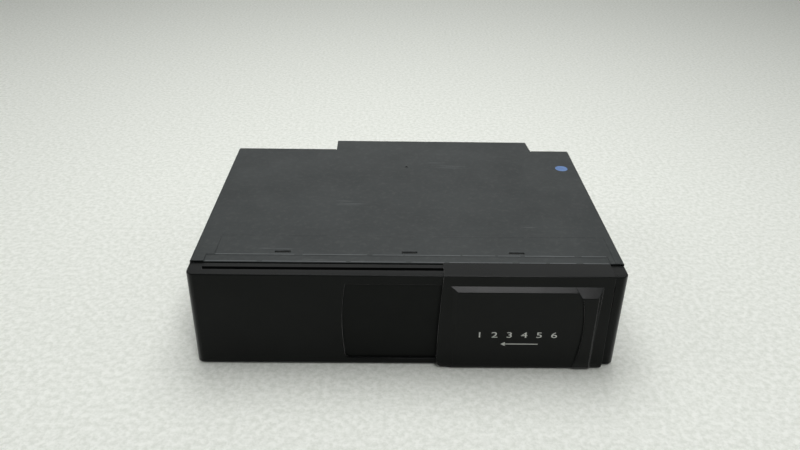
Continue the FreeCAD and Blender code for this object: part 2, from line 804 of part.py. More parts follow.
# ---------------------------------------- front
def bezel():
    """Moulded front: fascia on the left, door opening on the right, rails and grooves above and below."""
    blank = block(-half_width, half_width, 0, bezel_depth, rail_bottom, rail_top)
    front = rounded(blank, bezel_corner_radius, lambda p, d: abs(d.z) > 0.9 and p.y < 0.1)
    front = front.common(rounded(blank, bezel_side_radius, lambda p, d: abs(d.y) > 0.9))
    front = front.common(rounded(blank, bezel_edge_radius, lambda p, d: abs(d.x) > 0.9 and p.y < 0.1))
    collar_bottom = chassis_sheet + sheet_gap
    collar_top = cover_underside - nose_drop - sheet_gap
    collar = block(-collar_outer, collar_outer, cover_front, bezel_rear, collar_bottom, collar_top)
    neck = block(-collar_outer, collar_outer, bezel_depth - collar_overlap, cover_front + collar_overlap,
                 collar_bottom + neck_inset, collar_top - neck_inset)
    room = block(-collar_inner, collar_inner, room_front, bezel_rear + 1, room_bottom, opening_top)
    channel = block(shutter_left - shutter_travel - shutter_end_gap, opening_right + 0.5, fascia_wall,
                    room_front + 0.1,
                    opening_bottom - shutter_lap - shutter_gap, opening_top + shutter_lap + shutter_gap)
    foot = (opening_left - 1.0, opening_bottom + opening_corner)
    bow = (opening_left - opening_bow, (opening_bottom + opening_top) / 2)
    corner_mid = (opening_left - 0.1, opening_bottom + 0.3 * opening_corner)
    corner_end = (opening_left + 2.4, opening_bottom)
    low_right = (opening_right, opening_bottom)
    high_right = (opening_right, opening_top)
    high_left = (opening_left, opening_top)
    opening = front_outline([(high_left, bow, foot), (foot, corner_mid, corner_end), (corner_end, low_right),
                             (low_right, high_right), (high_right, high_left)], -1, fascia_wall + 0.1)
    grooves = [block(end_block_left + groove_end_gap, end_block_right - groove_end_gap, groove_front,
                     groove_front + groove_width, z0, z1)
               for z0, z1 in ((rail_top - groove_depth, rail_top + 1), (rail_bottom - 1,
                                                                        rail_bottom + groove_depth))]
    clips = [block(x - clip_length / 2, x + clip_length / 2, hook_slot_y - clip_width / 2,
                   hook_slot_y + clip_width / 2, collar_top - 1,
                   case_height - clip_drop) for x in hook_slot_x]
    return join(front, collar, neck).cut([room, channel, opening] + grooves).fuse(clips).removeSplitter()


def door_silhouette(y0):
    """Door seen from the front, from the given plane back to the flanges' ends."""
    top = case_height
    low = door_underside
    top_left = (door_left + door_lean, top)
    mid_left = (door_left + 0.2, top / 2)
    foot = (door_left - 0.2, low + 2 * door_corner)
    corner_mid = (door_left + 0.7, low + 0.65 * door_corner)
    corner_end = (door_left + door_corner, low)
    right_start = (door_right - door_small_corner, low)
    right_mid = (door_right - 0.29 * door_small_corner, low + 0.29 * door_small_corner)
    right_end = (door_right, low + door_small_corner)
    return front_outline([(top_left, mid_left, foot), (foot, corner_mid, corner_end), (corner_end,
                                                                                       right_start),
                          (right_start, right_mid, right_end), (right_end, (door_right, top)),
                          ((door_right, top), top_left)], y0, door_flange_reach)


def door_panel():
    """Raised panel of the door, bevelled along its top and its left side."""
    low = door_underside
    back = band_front + 0.9 * door_front_wall
    section = [(band_front + 0.01, band_bottom), (panel_front, band_bottom - 1.04 * panel_proud),
               (panel_front, low + panel_foot), (panel_front + 0.8, low + 1.2), (panel_front + 2.2, low),
               (back, low), (back, band_bottom)]
    panel = prism(section, "x", panel_left, ridge_right + 0.6 * ridge_flank)
    bevel = [(panel_left - 1, panel_front - 2), (panel_left - 1, band_front), (panel_left, band_front),
             (panel_left + panel_bevel, panel_front), (panel_left + panel_bevel, panel_front - 2)]
    return panel.cut(prism(bevel, "z", -1, case_height))


def door_ridge():
    """Finger ridge near the door's right edge, with a bowed left side and a sloping right flank."""
    low = door_underside
    back = band_front + 0.9 * door_front_wall
    section = [(band_front + 0.01, band_bottom), (ridge_front, band_bottom - ridge_proud),
               (ridge_front, low + ridge_foot), (ridge_front + 1.4, low + 2.6), (ridge_front + 4.3, low),
               (back, low), (back, band_bottom)]
    ridge = prism(section, "x", panel_left, door_right + 1)
    shoulder = (ridge_left, band_bottom - ridge_proud - 1.2)
    foot = (ridge_left - ridge_foot_lean, low)
    bow = (ridge_left + ridge_bow, low + ridge_bow_height)
    high = band_bottom + 0.5
    side = front_outline([((ridge_top_left, high), shoulder), (shoulder, bow, foot), (foot, (door_right + 1,
                                                                                             low)),
                          ((door_right + 1, low), (door_right + 1, high)),
                          ((door_right + 1, high), (ridge_top_left, high))], ridge_front - 1, back)
    slope_end = ridge_right + ridge_flank
    flank = [(ridge_right, ridge_front - 0.01), (slope_end, band_front + 0.02), (door_right + 5,
                                                                                 band_front + 0.02),
             (door_right + 5, ridge_front - 3), (ridge_right, ridge_front - 3)]
    return ridge.common(side).cut(prism(flank, "z", -1, case_height))


def sliding_door():
    """Sliding door: a shell that wraps the bezel above and below, with hooks that run in its grooves."""
    top = case_height
    low = door_underside
    section = [(band_front, top), (band_front, band_bottom), (panel_front + 0.3, low + 6.0),
               (panel_front + 1.1, low + 1.5), (panel_front + 2.5, low), (door_flange_reach, low),
               (door_flange_reach, top)]
    base = prism(section, "x", door_left - door_corner, door_right + 1)
    shell = join(base, door_panel(), door_ridge()).common(door_silhouette(ridge_front - 1))
    shell = rounded(shell, 0.6, lambda p, d: abs(d.x) > 0.9 and p.z > top - 0.01 and p.y < band_front + 0.01)
    inside = block(door_left - 5, door_right + 5, -door_front_gap, door_flange_reach + 5,
                   low + door_lower_flange, top - door_flange)
    hook_y0 = groove_front + hook_gap
    hook_y1 = groove_front + groove_width - hook_gap
    hook_x0 = door_left + door_corner
    upper = block(hook_x0, door_right - 1.0, hook_y0, hook_y1, rail_top - groove_depth + hook_gap,
                  top - door_flange + 0.1)
    lower = block(hook_x0 + 1.0, door_right - 2.0, hook_y0, hook_y1, low + door_lower_flange - 0.1,
                  rail_bottom + groove_depth - hook_gap)
    lug = block(door_right - lug_width, door_right, -door_front_gap - 0.5, fascia_wall - seat_gap, *lug_z)
    return join(shell.cut(inside), upper, lower, lug)


def door_shutter():
    """Inner leaf that closes the rest of the opening; the door's lug takes it along at the end."""
    leaf = block(shutter_left, shutter_right, shutter_front, shutter_back, opening_bottom - shutter_lap,
                 opening_top + shutter_lap)
    rib = block(shutter_right - shutter_rib, shutter_right, shutter_gap + 0.2, shutter_front + 0.5,
                opening_bottom + shutter_rib_height_inset, opening_top - shutter_rib_height_inset)
    return join(leaf, rib)


def magazine_mouth():
    """Frame behind the door, with the magazine's slot and the eject button's window."""
    plate = block(bay_right, collar_inner - 0.1, mouth_front, mouth_back, room_bottom + 0.1,
                  opening_top - 0.1)
    slot = block(magazine_left - mouth_gap, magazine_right + mouth_gap, mouth_front - 1, mouth_back + 1,
                 magazine_bottom - mouth_gap, magazine_top + mouth_gap)
    window = block(button_left - button_gap, button_right + button_gap, mouth_front - 1, mouth_back + 1,
                   button_bottom - button_gap, button_bottom + button_height + button_gap)
    return plate.cut([slot, window])


# ---------------------------------------- eject
def eject_button():
    """Push button beside the magazine; its stem pushes the latch lever."""
    top = button_bottom + button_height
    cap = block(button_left, button_right, button_front, mouth_back + 2.0, button_bottom, top)
    cap = rounded(cap, 0.7, lambda p, d: p.y < button_front + 0.01)
    flange = block(button_left - button_flange, button_right + button_flange, mouth_back + 0.3,
                   mouth_back + 1.5,
                   button_bottom - 1.0, top + 1.0)
    stem = block(button_right - button_stem, button_right, mouth_back + 0.3, mouth_back + 2.5,
                 lever_bottom - 1.0,
                 button_bottom + 1.0)
    toe = block(button_right - button_stem, button_right, mouth_back + 0.3, lever_front - lever_gap,
                lever_bottom - 1.0,
                lever_top + 0.6)
    return join(cap, flange, stem, toe)


def latch_lever():
    """Lever on an upright pin: the button pushes its front arm, and its hook lets the magazine go."""
    x, y = lever_pin_x, lever_pin_y
    tip = magazine_left + lever_hook
    hook_y = y + lever_reach
    outline = [(x - 3.0, lever_front), (button_right - 0.2, lever_front), (button_right - 0.2, y + 0.5),
               (x + 3.0, y + 1.0), (magazine_left - 2.2, hook_y - 2.2), (tip, hook_y - 0.5),
               (magazine_left - 0.6, hook_y + 2.5), (magazine_left - 4.0, hook_y + 2.0), (x - 3.0, y + 2.0)]
    lever = prism(outline, "z", lever_bottom, lever_top)
    return lever.cut(upright(lever_pin_radius + running_gap, x, y, lever_bottom - 1, lever_top + 1))


def frame_pins():
    """Pins riveted to the mechanism frame: latch lever, ejector arm and the two lift gears."""
    lever_pin = join(upright(lever_post_radius, lever_pin_x, lever_pin_y, frame_top, lever_bottom - 0.1),
                     upright(lever_pin_radius, lever_pin_x, lever_pin_y, frame_top, lever_top + 0.8))
    ejector_pin = join(upright(ejector_post_radius, ejector_pin_x, ejector_pin_y, frame_top,
                               ejector_bottom - plate_gap),
                       upright(ejector_pin_radius, ejector_pin_x, ejector_pin_y, frame_top,
                               ejector_bottom + ejector_sheet + 1.5))
    gear_pins = [upright(gear_pin_radius, x, y, frame_top, gear_top + 0.1)
                 for x, y in ((pinion_x, pinion_y), (wheel_x, wheel_y))]
    return group([lever_pin, ejector_pin] + gear_pins)


def ejector_arm():
    """Sprung arm behind the magazine that pushes it out when the latch lets go."""
    x, y = ejector_pin_x, ejector_pin_y
    tip = x + ejector_reach
    z0, z1 = ejector_bottom, ejector_bottom + ejector_sheet
    arm = prism([(x - 4.0, y - 3.0), (tip, magazine_rear + 2.2), (tip + 3.0, magazine_rear + 4.6),
                 (x + 4.0, y + 4.0), (x - 4.0, y + 4.0)], "z", z0, z1)
    nose = upright(ejector_nose_radius, tip, magazine_rear + ejector_nose_radius + seat_gap, z0, z1)
    return join(arm, nose).cut(upright(ejector_pin_radius + running_gap, x, y, z0 - 1, z1 + 1))


# ---------------------------------------- magazine
def magazine_case():
    """Cassette, open on its left side, with shelves for the trays along its front and rear walls."""
    outer = block(magazine_left, magazine_right, magazine_front, magazine_rear, magazine_bottom, magazine_top)
    outer = rounded(outer, magazine_corner_radius, lambda p, d: abs(d.z) > 0.9 and p.y < magazine_front + 0.1)
    floor = magazine_bottom + magazine_wall
    roof = magazine_top - magazine_wall
    inner = block(magazine_left - 1, magazine_right - magazine_wall, bay_front, magazine_rear - magazine_wall,
                  floor, roof)
    shelves = []
    pull_right = tray_left + pull_lip + pull_notch + 0.5
    for level in range(tray_count):
        top = first_level + level * tray_pitch - tray_sheet / 2 - tray_play
        bottom = top - shelf_sheet if level else floor - 0.1
        right = magazine_right - magazine_wall + 0.1
        shelves.append(block(tray_left + 2.0, right, bay_front - 0.1, tray_front + shelf_reach, bottom, top))
        shelves.append(block(pull_right, right, tray_rear - shelf_reach, magazine_rear - magazine_wall + 0.1,
                             bottom, top))
    hook_y = lever_pin_y + lever_reach
    notch = block(magazine_left - 1, magazine_left + 2 * lever_hook, hook_y - 2.0,
                  hook_y + 3.5 + magazine_travel, magazine_bottom - 1, floor + 1)
    transfer_window = block(magazine_left - 1, pull_right, tray_rear - pull_depth - 1, magazine_rear + 1,
                            floor, roof)
    grip = block(magazine_left + grip_inset, magazine_right - grip_inset, magazine_front - 1,
                 magazine_front + grip_depth, magazine_bottom + grip_height_inset,
                 magazine_top - grip_height_inset)
    return join(outer.cut(inner), *shelves).cut([notch, transfer_window, grip])


def disc_tray(level):
    """Thin tray with a recess for the disc, a way round the turntable and a lip for the transfer hook."""
    z = first_level + level * tray_pitch
    low, high = z - tray_sheet / 2, z + tray_sheet / 2
    plate = block(tray_left, tray_right, tray_front, tray_rear, low, high)
    plate = rounded(plate, tray_corner_radius, lambda p, d: abs(d.z) > 0.9 and p.x > home_x)
    recess = upright(disc_diameter / 2 + 0.5, home_x, disc_y, high - disc_recess, high + 1)
    hub = upright(hub_radius, home_x, disc_y, low - 1, high + 1)
    way = block(tray_left - 1, home_x, disc_y - hub_radius, disc_y + hub_radius, low - 1, high + 1)
    neck = block(tray_left - 1, tray_left + pull_lip + pull_notch, tray_rear - pull_neck_depth, tray_rear + 1,
                 low - 1, high + 1)
    notch = block(tray_left + pull_lip, tray_left + pull_lip + pull_notch, tray_rear - pull_depth,
                  tray_rear + 1, low - 1, high + 1)
    return plate.cut([recess, hub, way, neck, notch])


def magazine_guide():
    """Sheet-metal cage that the magazine slides into: shelf, right side and roof, on four legs."""
    shelf_top = magazine_bottom - seat_gap
    side_left = magazine_right + 0.4
    roof_bottom = magazine_top + seat_gap
    left = magazine_left - 0.5
    right = side_left + chassis_sheet
    y0, y1 = bezel_rear + 1.0, magazine_rear + 4.0
    shelf = block(left, right, y0, y1, shelf_top - chassis_sheet, shelf_top)
    side = block(side_left, right, y0, y1, shelf_top - chassis_sheet, roof_bottom + chassis_sheet)
    roof = block(left, right, y0, y1, roof_bottom, roof_bottom + chassis_sheet)
    legs = [block(x, x + 8.0, y, y + frame_sheet, frame_top, shelf_top - 0.5)
            for x in (left + 2.5, right - 8.0) for y in (y0, y1 - frame_sheet)]
    light = block(left + 25.0, right - 25.0, y0 + 25.0, y1 - 25.0, roof_bottom - 1, roof_bottom + 2)
    return join(shelf, side, roof, *legs).cut(light)


# ---------------------------------------- lift
def mechanism_frame():
    """Base plate with two upright bay walls, slotted for the lift's pins."""
    base = block(frame_left, frame_right, bezel_rear + frame_front_gap, frame_rear, frame_bottom, frame_top)
    step = block(frame_left, bay_right, bay_front, bezel_rear + 1.0, frame_bottom, frame_top)
    lever_seat = block(bay_right - 1, lever_pin_x + 5.0, lever_pin_y - 5.0, bezel_rear + 1.0, frame_bottom,
                       frame_top)
    walls = [block(frame_left, bay_right, y, y + frame_sheet, frame_bottom, bay_wall_top)
             for y in (bay_front, bay_rear - frame_sheet)]
    slot = pin_radius + pin_gap
    cuts = []
    for x in pin_x:
        cuts.append(block(x - slot, x + slot, bay_front - 1, bay_rear + 1, pin_z, pin_z + lift_travel))
        cuts += [along_y(slot, x, z, bay_front - 1, bay_rear + 1) for z in (pin_z, pin_z + lift_travel)]
    cuts += [upright(screw_radius, x, y, frame_bottom - 1, frame_top + 1) for x in boss_x for y in boss_y]
    cuts.append(block(frame_left + bay_wall_dip_left, bay_right - bay_wall_dip_right, bay_front - 1,
                      bay_rear + 1,
                      bay_wall_top - bay_wall_dip, bay_wall_top + 1))
    return join(base, step, lever_seat, *walls).cut(cuts)


def rack_teeth():
    """Straight teeth along the cam slide, with a gap facing the pinion's tooth."""
    pitch = math.pi * gear_module
    slope = math.tan(math.radians(20))
    half_tooth = pitch / 4 - gear_backlash / 4
    deep, high = 1.15 * gear_module, 0.85 * gear_module
    first = math.ceil((cam_left + 1.5 - pinion_x) / pitch)
    last = math.floor((cam_right - cam_tie - pinion_x) / pitch)
    teeth = []
    for number in range(first, last):
        x = pinion_x + pitch * (number + 0.5)
        outline = [(x - half_tooth - deep * slope, rack_y + deep), (x - half_tooth + high * slope,
                                                                    rack_y - high),
                   (x + half_tooth - high * slope, rack_y - high), (x + half_tooth + deep * slope,
                                                                    rack_y + deep)]
        teeth.append(prism(outline, "z", rack_bottom, rack_top))
    return teeth


def cam_slide():
    """U-shaped slide: two upright cam plates, a tie between them and a rack that the lift motor drives."""
    slot = pin_radius + pin_gap
    side = slot / math.sqrt(2)
    top = pin_z + lift_travel + cam_margin
    plates = []
    for y in (cam_front, 2 * disc_y - cam_front - cam_sheet):
        cuts = []
        for x in pin_x:
            far_x, far_z = x + lift_travel, pin_z + lift_travel
            cuts.append(prism([(x - side, pin_z + side), (x + side, pin_z - side), (far_x + side,
                                                                                    far_z - side),
                               (far_x - side, far_z + side)], "y", y - 1, y + cam_sheet + 1))
            cuts.append(along_y(slot, x, pin_z, y - 1, y + cam_sheet + 1))
            cuts.append(along_y(slot, far_x, far_z, y - 1, y + cam_sheet + 1))
        plates.append(block(cam_left, cam_right, y, y + cam_sheet, rack_bottom, top).cut(cuts))
    tie = block(cam_right - cam_tie, cam_right, cam_front, 2 * disc_y - cam_front, rack_bottom, rack_top)
    rail = block(cam_left, cam_right, rack_y + gear_module, rack_y + gear_module + rack_width, rack_bottom,
                 rack_top)
    return join(plates[0], plates[1], tie, rail, *rack_teeth())


pinion_phase = math.pi / 2
wheel_phase = meshed_phase(pinion_teeth, pinion_phase, wheel_teeth, math.radians(wheel_angle))
motor_phase = meshed_phase(wheel_teeth, wheel_phase, motor_teeth, motor_angle)


def lift_pinion():
    """Gear that drives the rack of the cam slide."""
    return upright_gear(pinion_teeth, pinion_x, pinion_y, pinion_phase, gear_pin_radius + running_gap)


def lift_wheel():
    """Idler wheel between the motor's gear and the rack's pinion."""
    return upright_gear(wheel_teeth, wheel_x, wheel_y, wheel_phase, gear_pin_radius + running_gap)


def lift_motor_gear():
    """Gear of the lift motor, with the motor's shaft."""
    wheel = upright_gear(motor_teeth, motor_x, motor_y, motor_phase, motor_shaft_radius / 2)
    return join(wheel, upright(motor_shaft_radius, motor_x, motor_y, gear_bottom, motor_bottom + 1.5))


def lift_motor():
    """Small motor with its shaft pointing down."""
    top = motor_bottom + motor_height
    can = upright(motor_radius, motor_x, motor_y, motor_bottom, top)
    can = rounded(can, 1.0, lambda p, d: p.z > top - 0.01)
    boss = upright(motor_boss_radius, motor_x, motor_y, top - 0.5, top + 1.2)
    seat = upright(motor_shaft_radius + running_gap, motor_x, motor_y, motor_bottom - 1, motor_bottom + 2)
    return join(can, boss).cut(seat)


def motor_bracket():
    """Ring and foot that carry the lift motor above its gear."""
    top = motor_bottom + bracket_height
    outer = motor_radius + bracket_ring_wall
    foot = block(motor_x - outer, motor_x - motor_radius + 1, motor_y - bracket_foot_half,
                 motor_y + bracket_foot_half, frame_top, top)
    ring = upright(outer, motor_x, motor_y, motor_bottom + bracket_height / 2, top)
    ring = ring.cut(block(motor_x, motor_x + 2 * outer, motor_y - 2 * outer, motor_y + 2 * outer, 0,
                          case_height))
    gear_room = upright((motor_teeth + 4) * gear_module / 2 + 1, motor_x, motor_y, 0, motor_bottom)
    return join(foot, ring).cut([upright(motor_radius, motor_x, motor_y, 0, case_height), gear_room])


def lift_platform():
    """Lift platform: a floor with two flanges, and four pins that ride in the cams and the bay walls."""
    flange_top = first_level - platform_flange_drop
    floor = block(platform_left, platform_right, flange_front, flange_rear, platform_bottom, platform_top)
    front = block(platform_left, platform_right, flange_front, flange_front + platform_sheet, platform_bottom,
                  flange_top)
    rear = block(platform_left, platform_right, flange_rear - platform_sheet, flange_rear, platform_bottom,
                 flange_top)
    pins = []
    for x in pin_x:
        pins.append(along_y(pin_radius, x, pin_z, bay_front - pin_reach, flange_front + 0.5))
        pins.append(along_y(pin_radius, x, pin_z, flange_rear - 0.5, bay_rear + pin_reach))
    cuts = [upright(spindle_motor_radius + 2.0, spindle_x, disc_y, platform_bottom - 1, platform_top + 1),
            block(lever_room_x, platform_right + 1, flange_front - 1, lever_room_y, platform_bottom - 1,
                  flange_top + 1),
            block(sled_gear_x - sled_gear_room, sled_gear_x + sled_gear_face + sled_gear_room,
                  screw_y - screw_gear_room, screw_y + screw_gear_room, platform_bottom - 1,
                  platform_top + 1)]
    return join(floor, front, rear, *pins).cut(cuts)


# ---------------------------------------- player
def damper_bushes():
    """Four soft bushes between the lift platform and the player's plate."""
    bushes = []
    for x in damper_x:
        for y in (disc_y - damper_offset, disc_y + damper_offset):
            body = upright(damper_radius, x, y, platform_top, player_bottom)
            waist = upright(damper_radius + 1, x, y, platform_top + 1.5, player_bottom - 1.5)
            waist = waist.cut(upright(damper_radius - damper_waist, x, y, platform_top, player_bottom))
            bushes.append(body.cut(waist))
    return group(bushes)


def player_chassis():
    """Plate that carries the spindle motor, the sled's rods and the clamp arm's ears."""
    x0, x1 = platform_left + player_end_inset, platform_right - player_end_inset / 2
    y0, y1 = disc_y - player_half_depth, disc_y + player_half_depth
    plate = block(x0, x1, y0, y1, player_bottom, player_top)
    cuts = [block(*sled_window, disc_y - sled_window_half, disc_y + sled_window_half, player_bottom - 1,
                  player_top + 1),
            upright(spindle_boss_radius + 0.2, spindle_x, disc_y, player_bottom - 1, player_top + 1),
            block(sled_gear_x - sled_gear_room,
                  sled_gear_x + sled_gear_face + 3 * sled_gear_room + sled_motor_length,
                  screw_y - screw_gear_room, sled_motor_y + sled_motor_radius + sled_gear_room,
                  player_bottom - 1,
                  player_top + 1),
            block(lever_room_x, x1 + 1, y0 - 1, lever_room_y, player_bottom - 1, player_top + 1)]
    plate = plate.cut(cuts)
    pieces = []
    for x in (rod_x[0] - rod_tab / 2 + 0.1, rod_x[1] - rod_tab / 2 - 0.1):
        for y, gap in ((guide_y, 0.0), (screw_y, running_gap)):
            tab = block(x, x + rod_tab, y - rod_tab_half, y + rod_tab_half, rod_z - rod_radius - 0.4,
                        player_bottom + 0.5)
            pieces.append(tab.cut(along_x(rod_radius + gap, y, rod_z, x - 1, x + rod_tab + 1)))
    for y in (disc_y - hinge_half - 2.0, disc_y + hinge_half + 2.0):
        ear = block(hinge_x - hinge_ear, hinge_x + hinge_ear, y - 1.0, y + 1.0, player_bottom,
                    hinge_z + hinge_ear)
        pieces.append(ear.cut(along_y(hinge_pin_radius, hinge_x, hinge_z, y - 3, y + 3)))
    return join(plate, *pieces)


def spindle_motor():
    """Flat motor under the player's plate."""
    low = player_bottom - spindle_motor_height
    body = upright(spindle_motor_radius, spindle_x, disc_y, low, player_bottom)
    body = rounded(body, 0.6, lambda p, d: p.z < low + 0.01)
    boss = upright(spindle_boss_radius, spindle_x, disc_y, player_bottom - 0.5, player_top + 0.2)
    bore = upright(spindle_radius + running_gap, spindle_x, disc_y, player_bottom - 3.0, player_top + 1)
    return join(body, boss).cut(bore)


def turntable():
    """Disc support with its centring cone and the spindle."""
    plate = upright(turntable_radius, spindle_x, disc_y, disc_plane - turntable_sheet, disc_plane)
    neck = upright(turntable_neck_radius, spindle_x, disc_y, player_top + 0.5, disc_plane - 1)
    cone = Part.makeCone(cone_radius, cone_radius - cone_taper, disc_sheet + 1.0,
                         FreeCAD.Vector(spindle_x, disc_y, disc_plane), FreeCAD.Vector(0, 0, 1))
    spindle = upright(spindle_radius, spindle_x, disc_y, player_bottom - 2.5, disc_plane)
    marks = []
    for number in range(3):
        angle = 2 * math.pi * number / 3
        x = spindle_x + 11.0 * math.cos(angle)
        y = disc_y + 11.0 * math.sin(angle)
        marks.append(upright(1.0, x, y, disc_plane - 0.4, disc_plane + 1))
    return join(plate, neck, cone, spindle).cut(marks)


def pickup_sled():
    """Carriage of the laser pickup, on the guide rod and beside the lead screw."""
    x0, x1 = lens_x - sled_left, lens_x + sled_right
    low = rod_z - rod_radius - 0.3
    body = block(x0, x1, guide_y - 4.0, screw_y - rod_radius - 3.0, low, player_top + 0.6)
    tower = block(lens_x - tower_half, lens_x + tower_half, disc_y - tower_half_depth,
                  disc_y + tower_half_depth,
                  player_top, disc_plane - 2.6)
    fork = block(x0 + 3.0, x1 - 3.0, screw_y - rod_radius - 3.5, screw_y - rod_radius - 0.15, rod_z - 1.2,
                 rod_z + 1.2)
    bore = along_x(rod_radius + running_gap, guide_y, rod_z, x0 - 1, x1 + 1)
    well = upright(lens_radius + 0.3, lens_x, disc_y, disc_plane - lens_well_depth, disc_plane)
    return join(body, tower, fork).cut([bore, well])


def objective_lens():
    """Lens and its ring, in the well of the sled."""
    low = disc_plane - lens_well_depth
    ring = upright(lens_radius, lens_x, disc_y, low, low + lens_ring_height)
    dome = Part.makeSphere(3.4, FreeCAD.Vector(lens_x, disc_y, low - 0.2))
    return join(ring, dome.common(upright(2.2, lens_x, disc_y, low + 1.0, low + 4.0)))


def guide_rod():
    """Polished rod that guides the sled."""
    return along_x(rod_radius, guide_y, rod_z, *rod_x)


def lead_screw():
    """Drive screw of the sled, drawn with ring grooves at its thread's pitch, and its gear."""
    shaft = along_x(rod_radius, screw_y, rod_z, rod_x[0], sled_gear_x + sled_gear_face)
    grooves = []
    for number in range(int((rod_x[1] - rod_x[0] - 4.0) / thread_pitch)):
        x = rod_x[0] + 3.0 + thread_pitch * number
        ring = along_x(rod_radius + 1, screw_y, rod_z, x, x + thread_pitch / 4)
        grooves.append(ring.cut(along_x(rod_radius - thread_depth, screw_y, rod_z, x - 1, x + thread_pitch)))
    return join(shaft.cut(grooves), sled_gear(screw_teeth, screw_y, rod_z, sled_gear_angle))


def sled_pinion():
    """Small gear and shaft of the sled motor."""
    phase = meshed_phase(screw_teeth, sled_gear_angle, sled_pinion_teeth, sled_gear_angle)
    shaft = along_x(sled_shaft_radius, sled_motor_y, sled_motor_z, sled_gear_x,
                    sled_gear_x + sled_gear_face + 2.2)
    return join(sled_gear(sled_pinion_teeth, sled_motor_y, sled_motor_z, phase), shaft)


def sled_motor():
    """Small motor that turns the lead screw, on a saddle of the player's plate."""
    x0 = sled_gear_x + sled_gear_face + sled_gear_room
    x1 = x0 + sled_motor_length
    body = along_x(sled_motor_radius, sled_motor_y, sled_motor_z, x0, x1)
    bore = along_x(sled_shaft_radius + running_gap, sled_motor_y, sled_motor_z, x0 - 1, x0 + 3)
    saddle = block(x0 + 2.0, x1 - 2.0, sled_motor_y + 0.67 * sled_motor_radius,
                   sled_motor_y + sled_motor_radius + 2.8,
                   player_top, player_top + 1.5)
    return join(body, saddle).cut(bore)


def opened(shape):
    """Turns a piece of the clamp up to its open position about the hinge."""
    turned = shape.copy()
    turned.rotate(FreeCAD.Vector(hinge_x, disc_y, hinge_z), FreeCAD.Vector(0, 1, 0), -clamp_open_angle)
    return turned


def clamp_arm():
    """Arm above the disc, hinged on the player's plate at its left end and drawn open."""
    low, high = hinge_z + clamp_rise, hinge_z + clamp_rise + clamp_sheet
    bar = block(hinge_x - 2.2, hinge_x + 8.0, disc_y - hinge_half - 0.5, disc_y + hinge_half + 0.5, low, high)
    root, tip = clamp_half_root, clamp_half_tip
    arm = prism([(hinge_x + 4.0, disc_y - root), (spindle_x - 6.0, disc_y - tip), (spindle_x + 12.0,
                                                                                   disc_y - tip),
                 (spindle_x + 12.0, disc_y + tip), (spindle_x - 6.0, disc_y + tip), (hinge_x + 4.0,
                                                                                     disc_y + root)],
                "z", low, high)
    ears = [block(hinge_x - 2.2, hinge_x + 2.2, y, y + clamp_sheet, hinge_z - 2.2, low + 0.5)
            for y in (disc_y - hinge_half - 0.5, disc_y + hinge_half + 0.5 - clamp_sheet)]
    bore = along_y(hinge_pin_radius + running_gap, hinge_x, hinge_z, disc_y - hinge_half - 2,
                   disc_y + hinge_half + 2)
    spring_y = disc_y + hinge_half - 8.0
    spring_room = block(hinge_x - 3, hinge_x + 3.2, spring_y, spring_y + 6.0, low - 1, high + 1)
    cuts = [bore, spring_room, upright(puck_neck_radius + 0.3, spindle_x, disc_y, low - 1, high + 1),
            upright(clamp_hole_radius, (hinge_x + spindle_x) / 2, disc_y, low - 1, high + 1)]
    return opened(join(bar, arm, *ears).cut(cuts))


def clamp_puck():
    """Clamping disc, hung in the end of the clamp arm."""
    puck = upright(puck_radius, spindle_x, disc_y, puck_bottom, puck_bottom + puck_sheet)
    puck = puck.cut(upright(cone_radius + 0.4, spindle_x, disc_y, puck_bottom - 1,
                            puck_bottom + puck_sheet - 0.8))
    arm_top = hinge_z + clamp_rise + clamp_sheet
    neck = upright(puck_neck_radius, spindle_x, disc_y, puck_bottom + puck_sheet - 0.5, arm_top + 0.5)
    cap = upright(puck_neck_radius + puck_cap_margin, spindle_x, disc_y, arm_top + 0.3, arm_top + 1.5)
    return opened(join(puck, neck, cap))


def clamp_pins():
    """Hinge pins of the clamp arm."""
    front = along_y(hinge_pin_radius, hinge_x, hinge_z, disc_y - hinge_half - 4.0, disc_y - hinge_half + 4.0)
    rear = along_y(hinge_pin_radius, hinge_x, hinge_z, disc_y + hinge_half - 8.0, disc_y + hinge_half + 4.0)
    return group([front, rear])


def clamp_spring():
    """Torsion spring on the rear hinge pin, drawn as closed coils with one leg on the player's plate."""
    wire = 2 * spring_wire
    radius = hinge_pin_radius + spring_wire + 0.2
    rings = [Part.makeTorus(radius, spring_wire,
                            FreeCAD.Vector(hinge_x, disc_y + hinge_half - 6.8 + (wire + spring_gap) * number,
                                           hinge_z),
                            FreeCAD.Vector(0, 1, 0)) for number in range(spring_coils)]
    leg = upright(spring_wire, hinge_x - radius, disc_y + hinge_half - 6.8, player_top, hinge_z)
    return group([join(rings[0], leg)] + rings[1:])


# ---------------------------------------- disc transfer
def belt_pulley(x):
    """Flanged pulley of the transfer belt."""
    top = pulley_bottom + pulley_height
    core = upright(pulley_radius, x, belt_y, pulley_bottom, top)
    rims = [upright(pulley_radius + pulley_rim, x, belt_y, z, z + pulley_rim_height)
            for z in (pulley_bottom, top - pulley_rim_height)]
    return join(core, *rims).cut(upright(pulley_pin_radius + running_gap, x, belt_y, pulley_bottom - 1,
                                         top + 1))


def pulley_pins():
    """Pins of the two pulleys, standing on the lift platform."""
    return group([upright(pulley_pin_radius, x, belt_y, platform_top, pulley_bottom + pulley_height + 0.2)
                  for x in pulley_x])


def belt_loop(radius, z0, z1):
    """Solid with the outline of a belt round both pulleys."""
    straight = block(pulley_x[0], pulley_x[1], belt_y - radius, belt_y + radius, z0, z1)
    return join(straight, *[upright(radius, x, belt_y, z0, z1) for x in pulley_x])


def transfer_belt():
    """Belt that draws the transfer hook along the platform."""
    z0 = pulley_bottom + (pulley_height - belt_height) / 2
    z1 = z0 + belt_height
    return belt_loop(belt_outer, z0, z1).cut(belt_loop(belt_outer - belt_sheet, z0 - 1, z1 + 1))


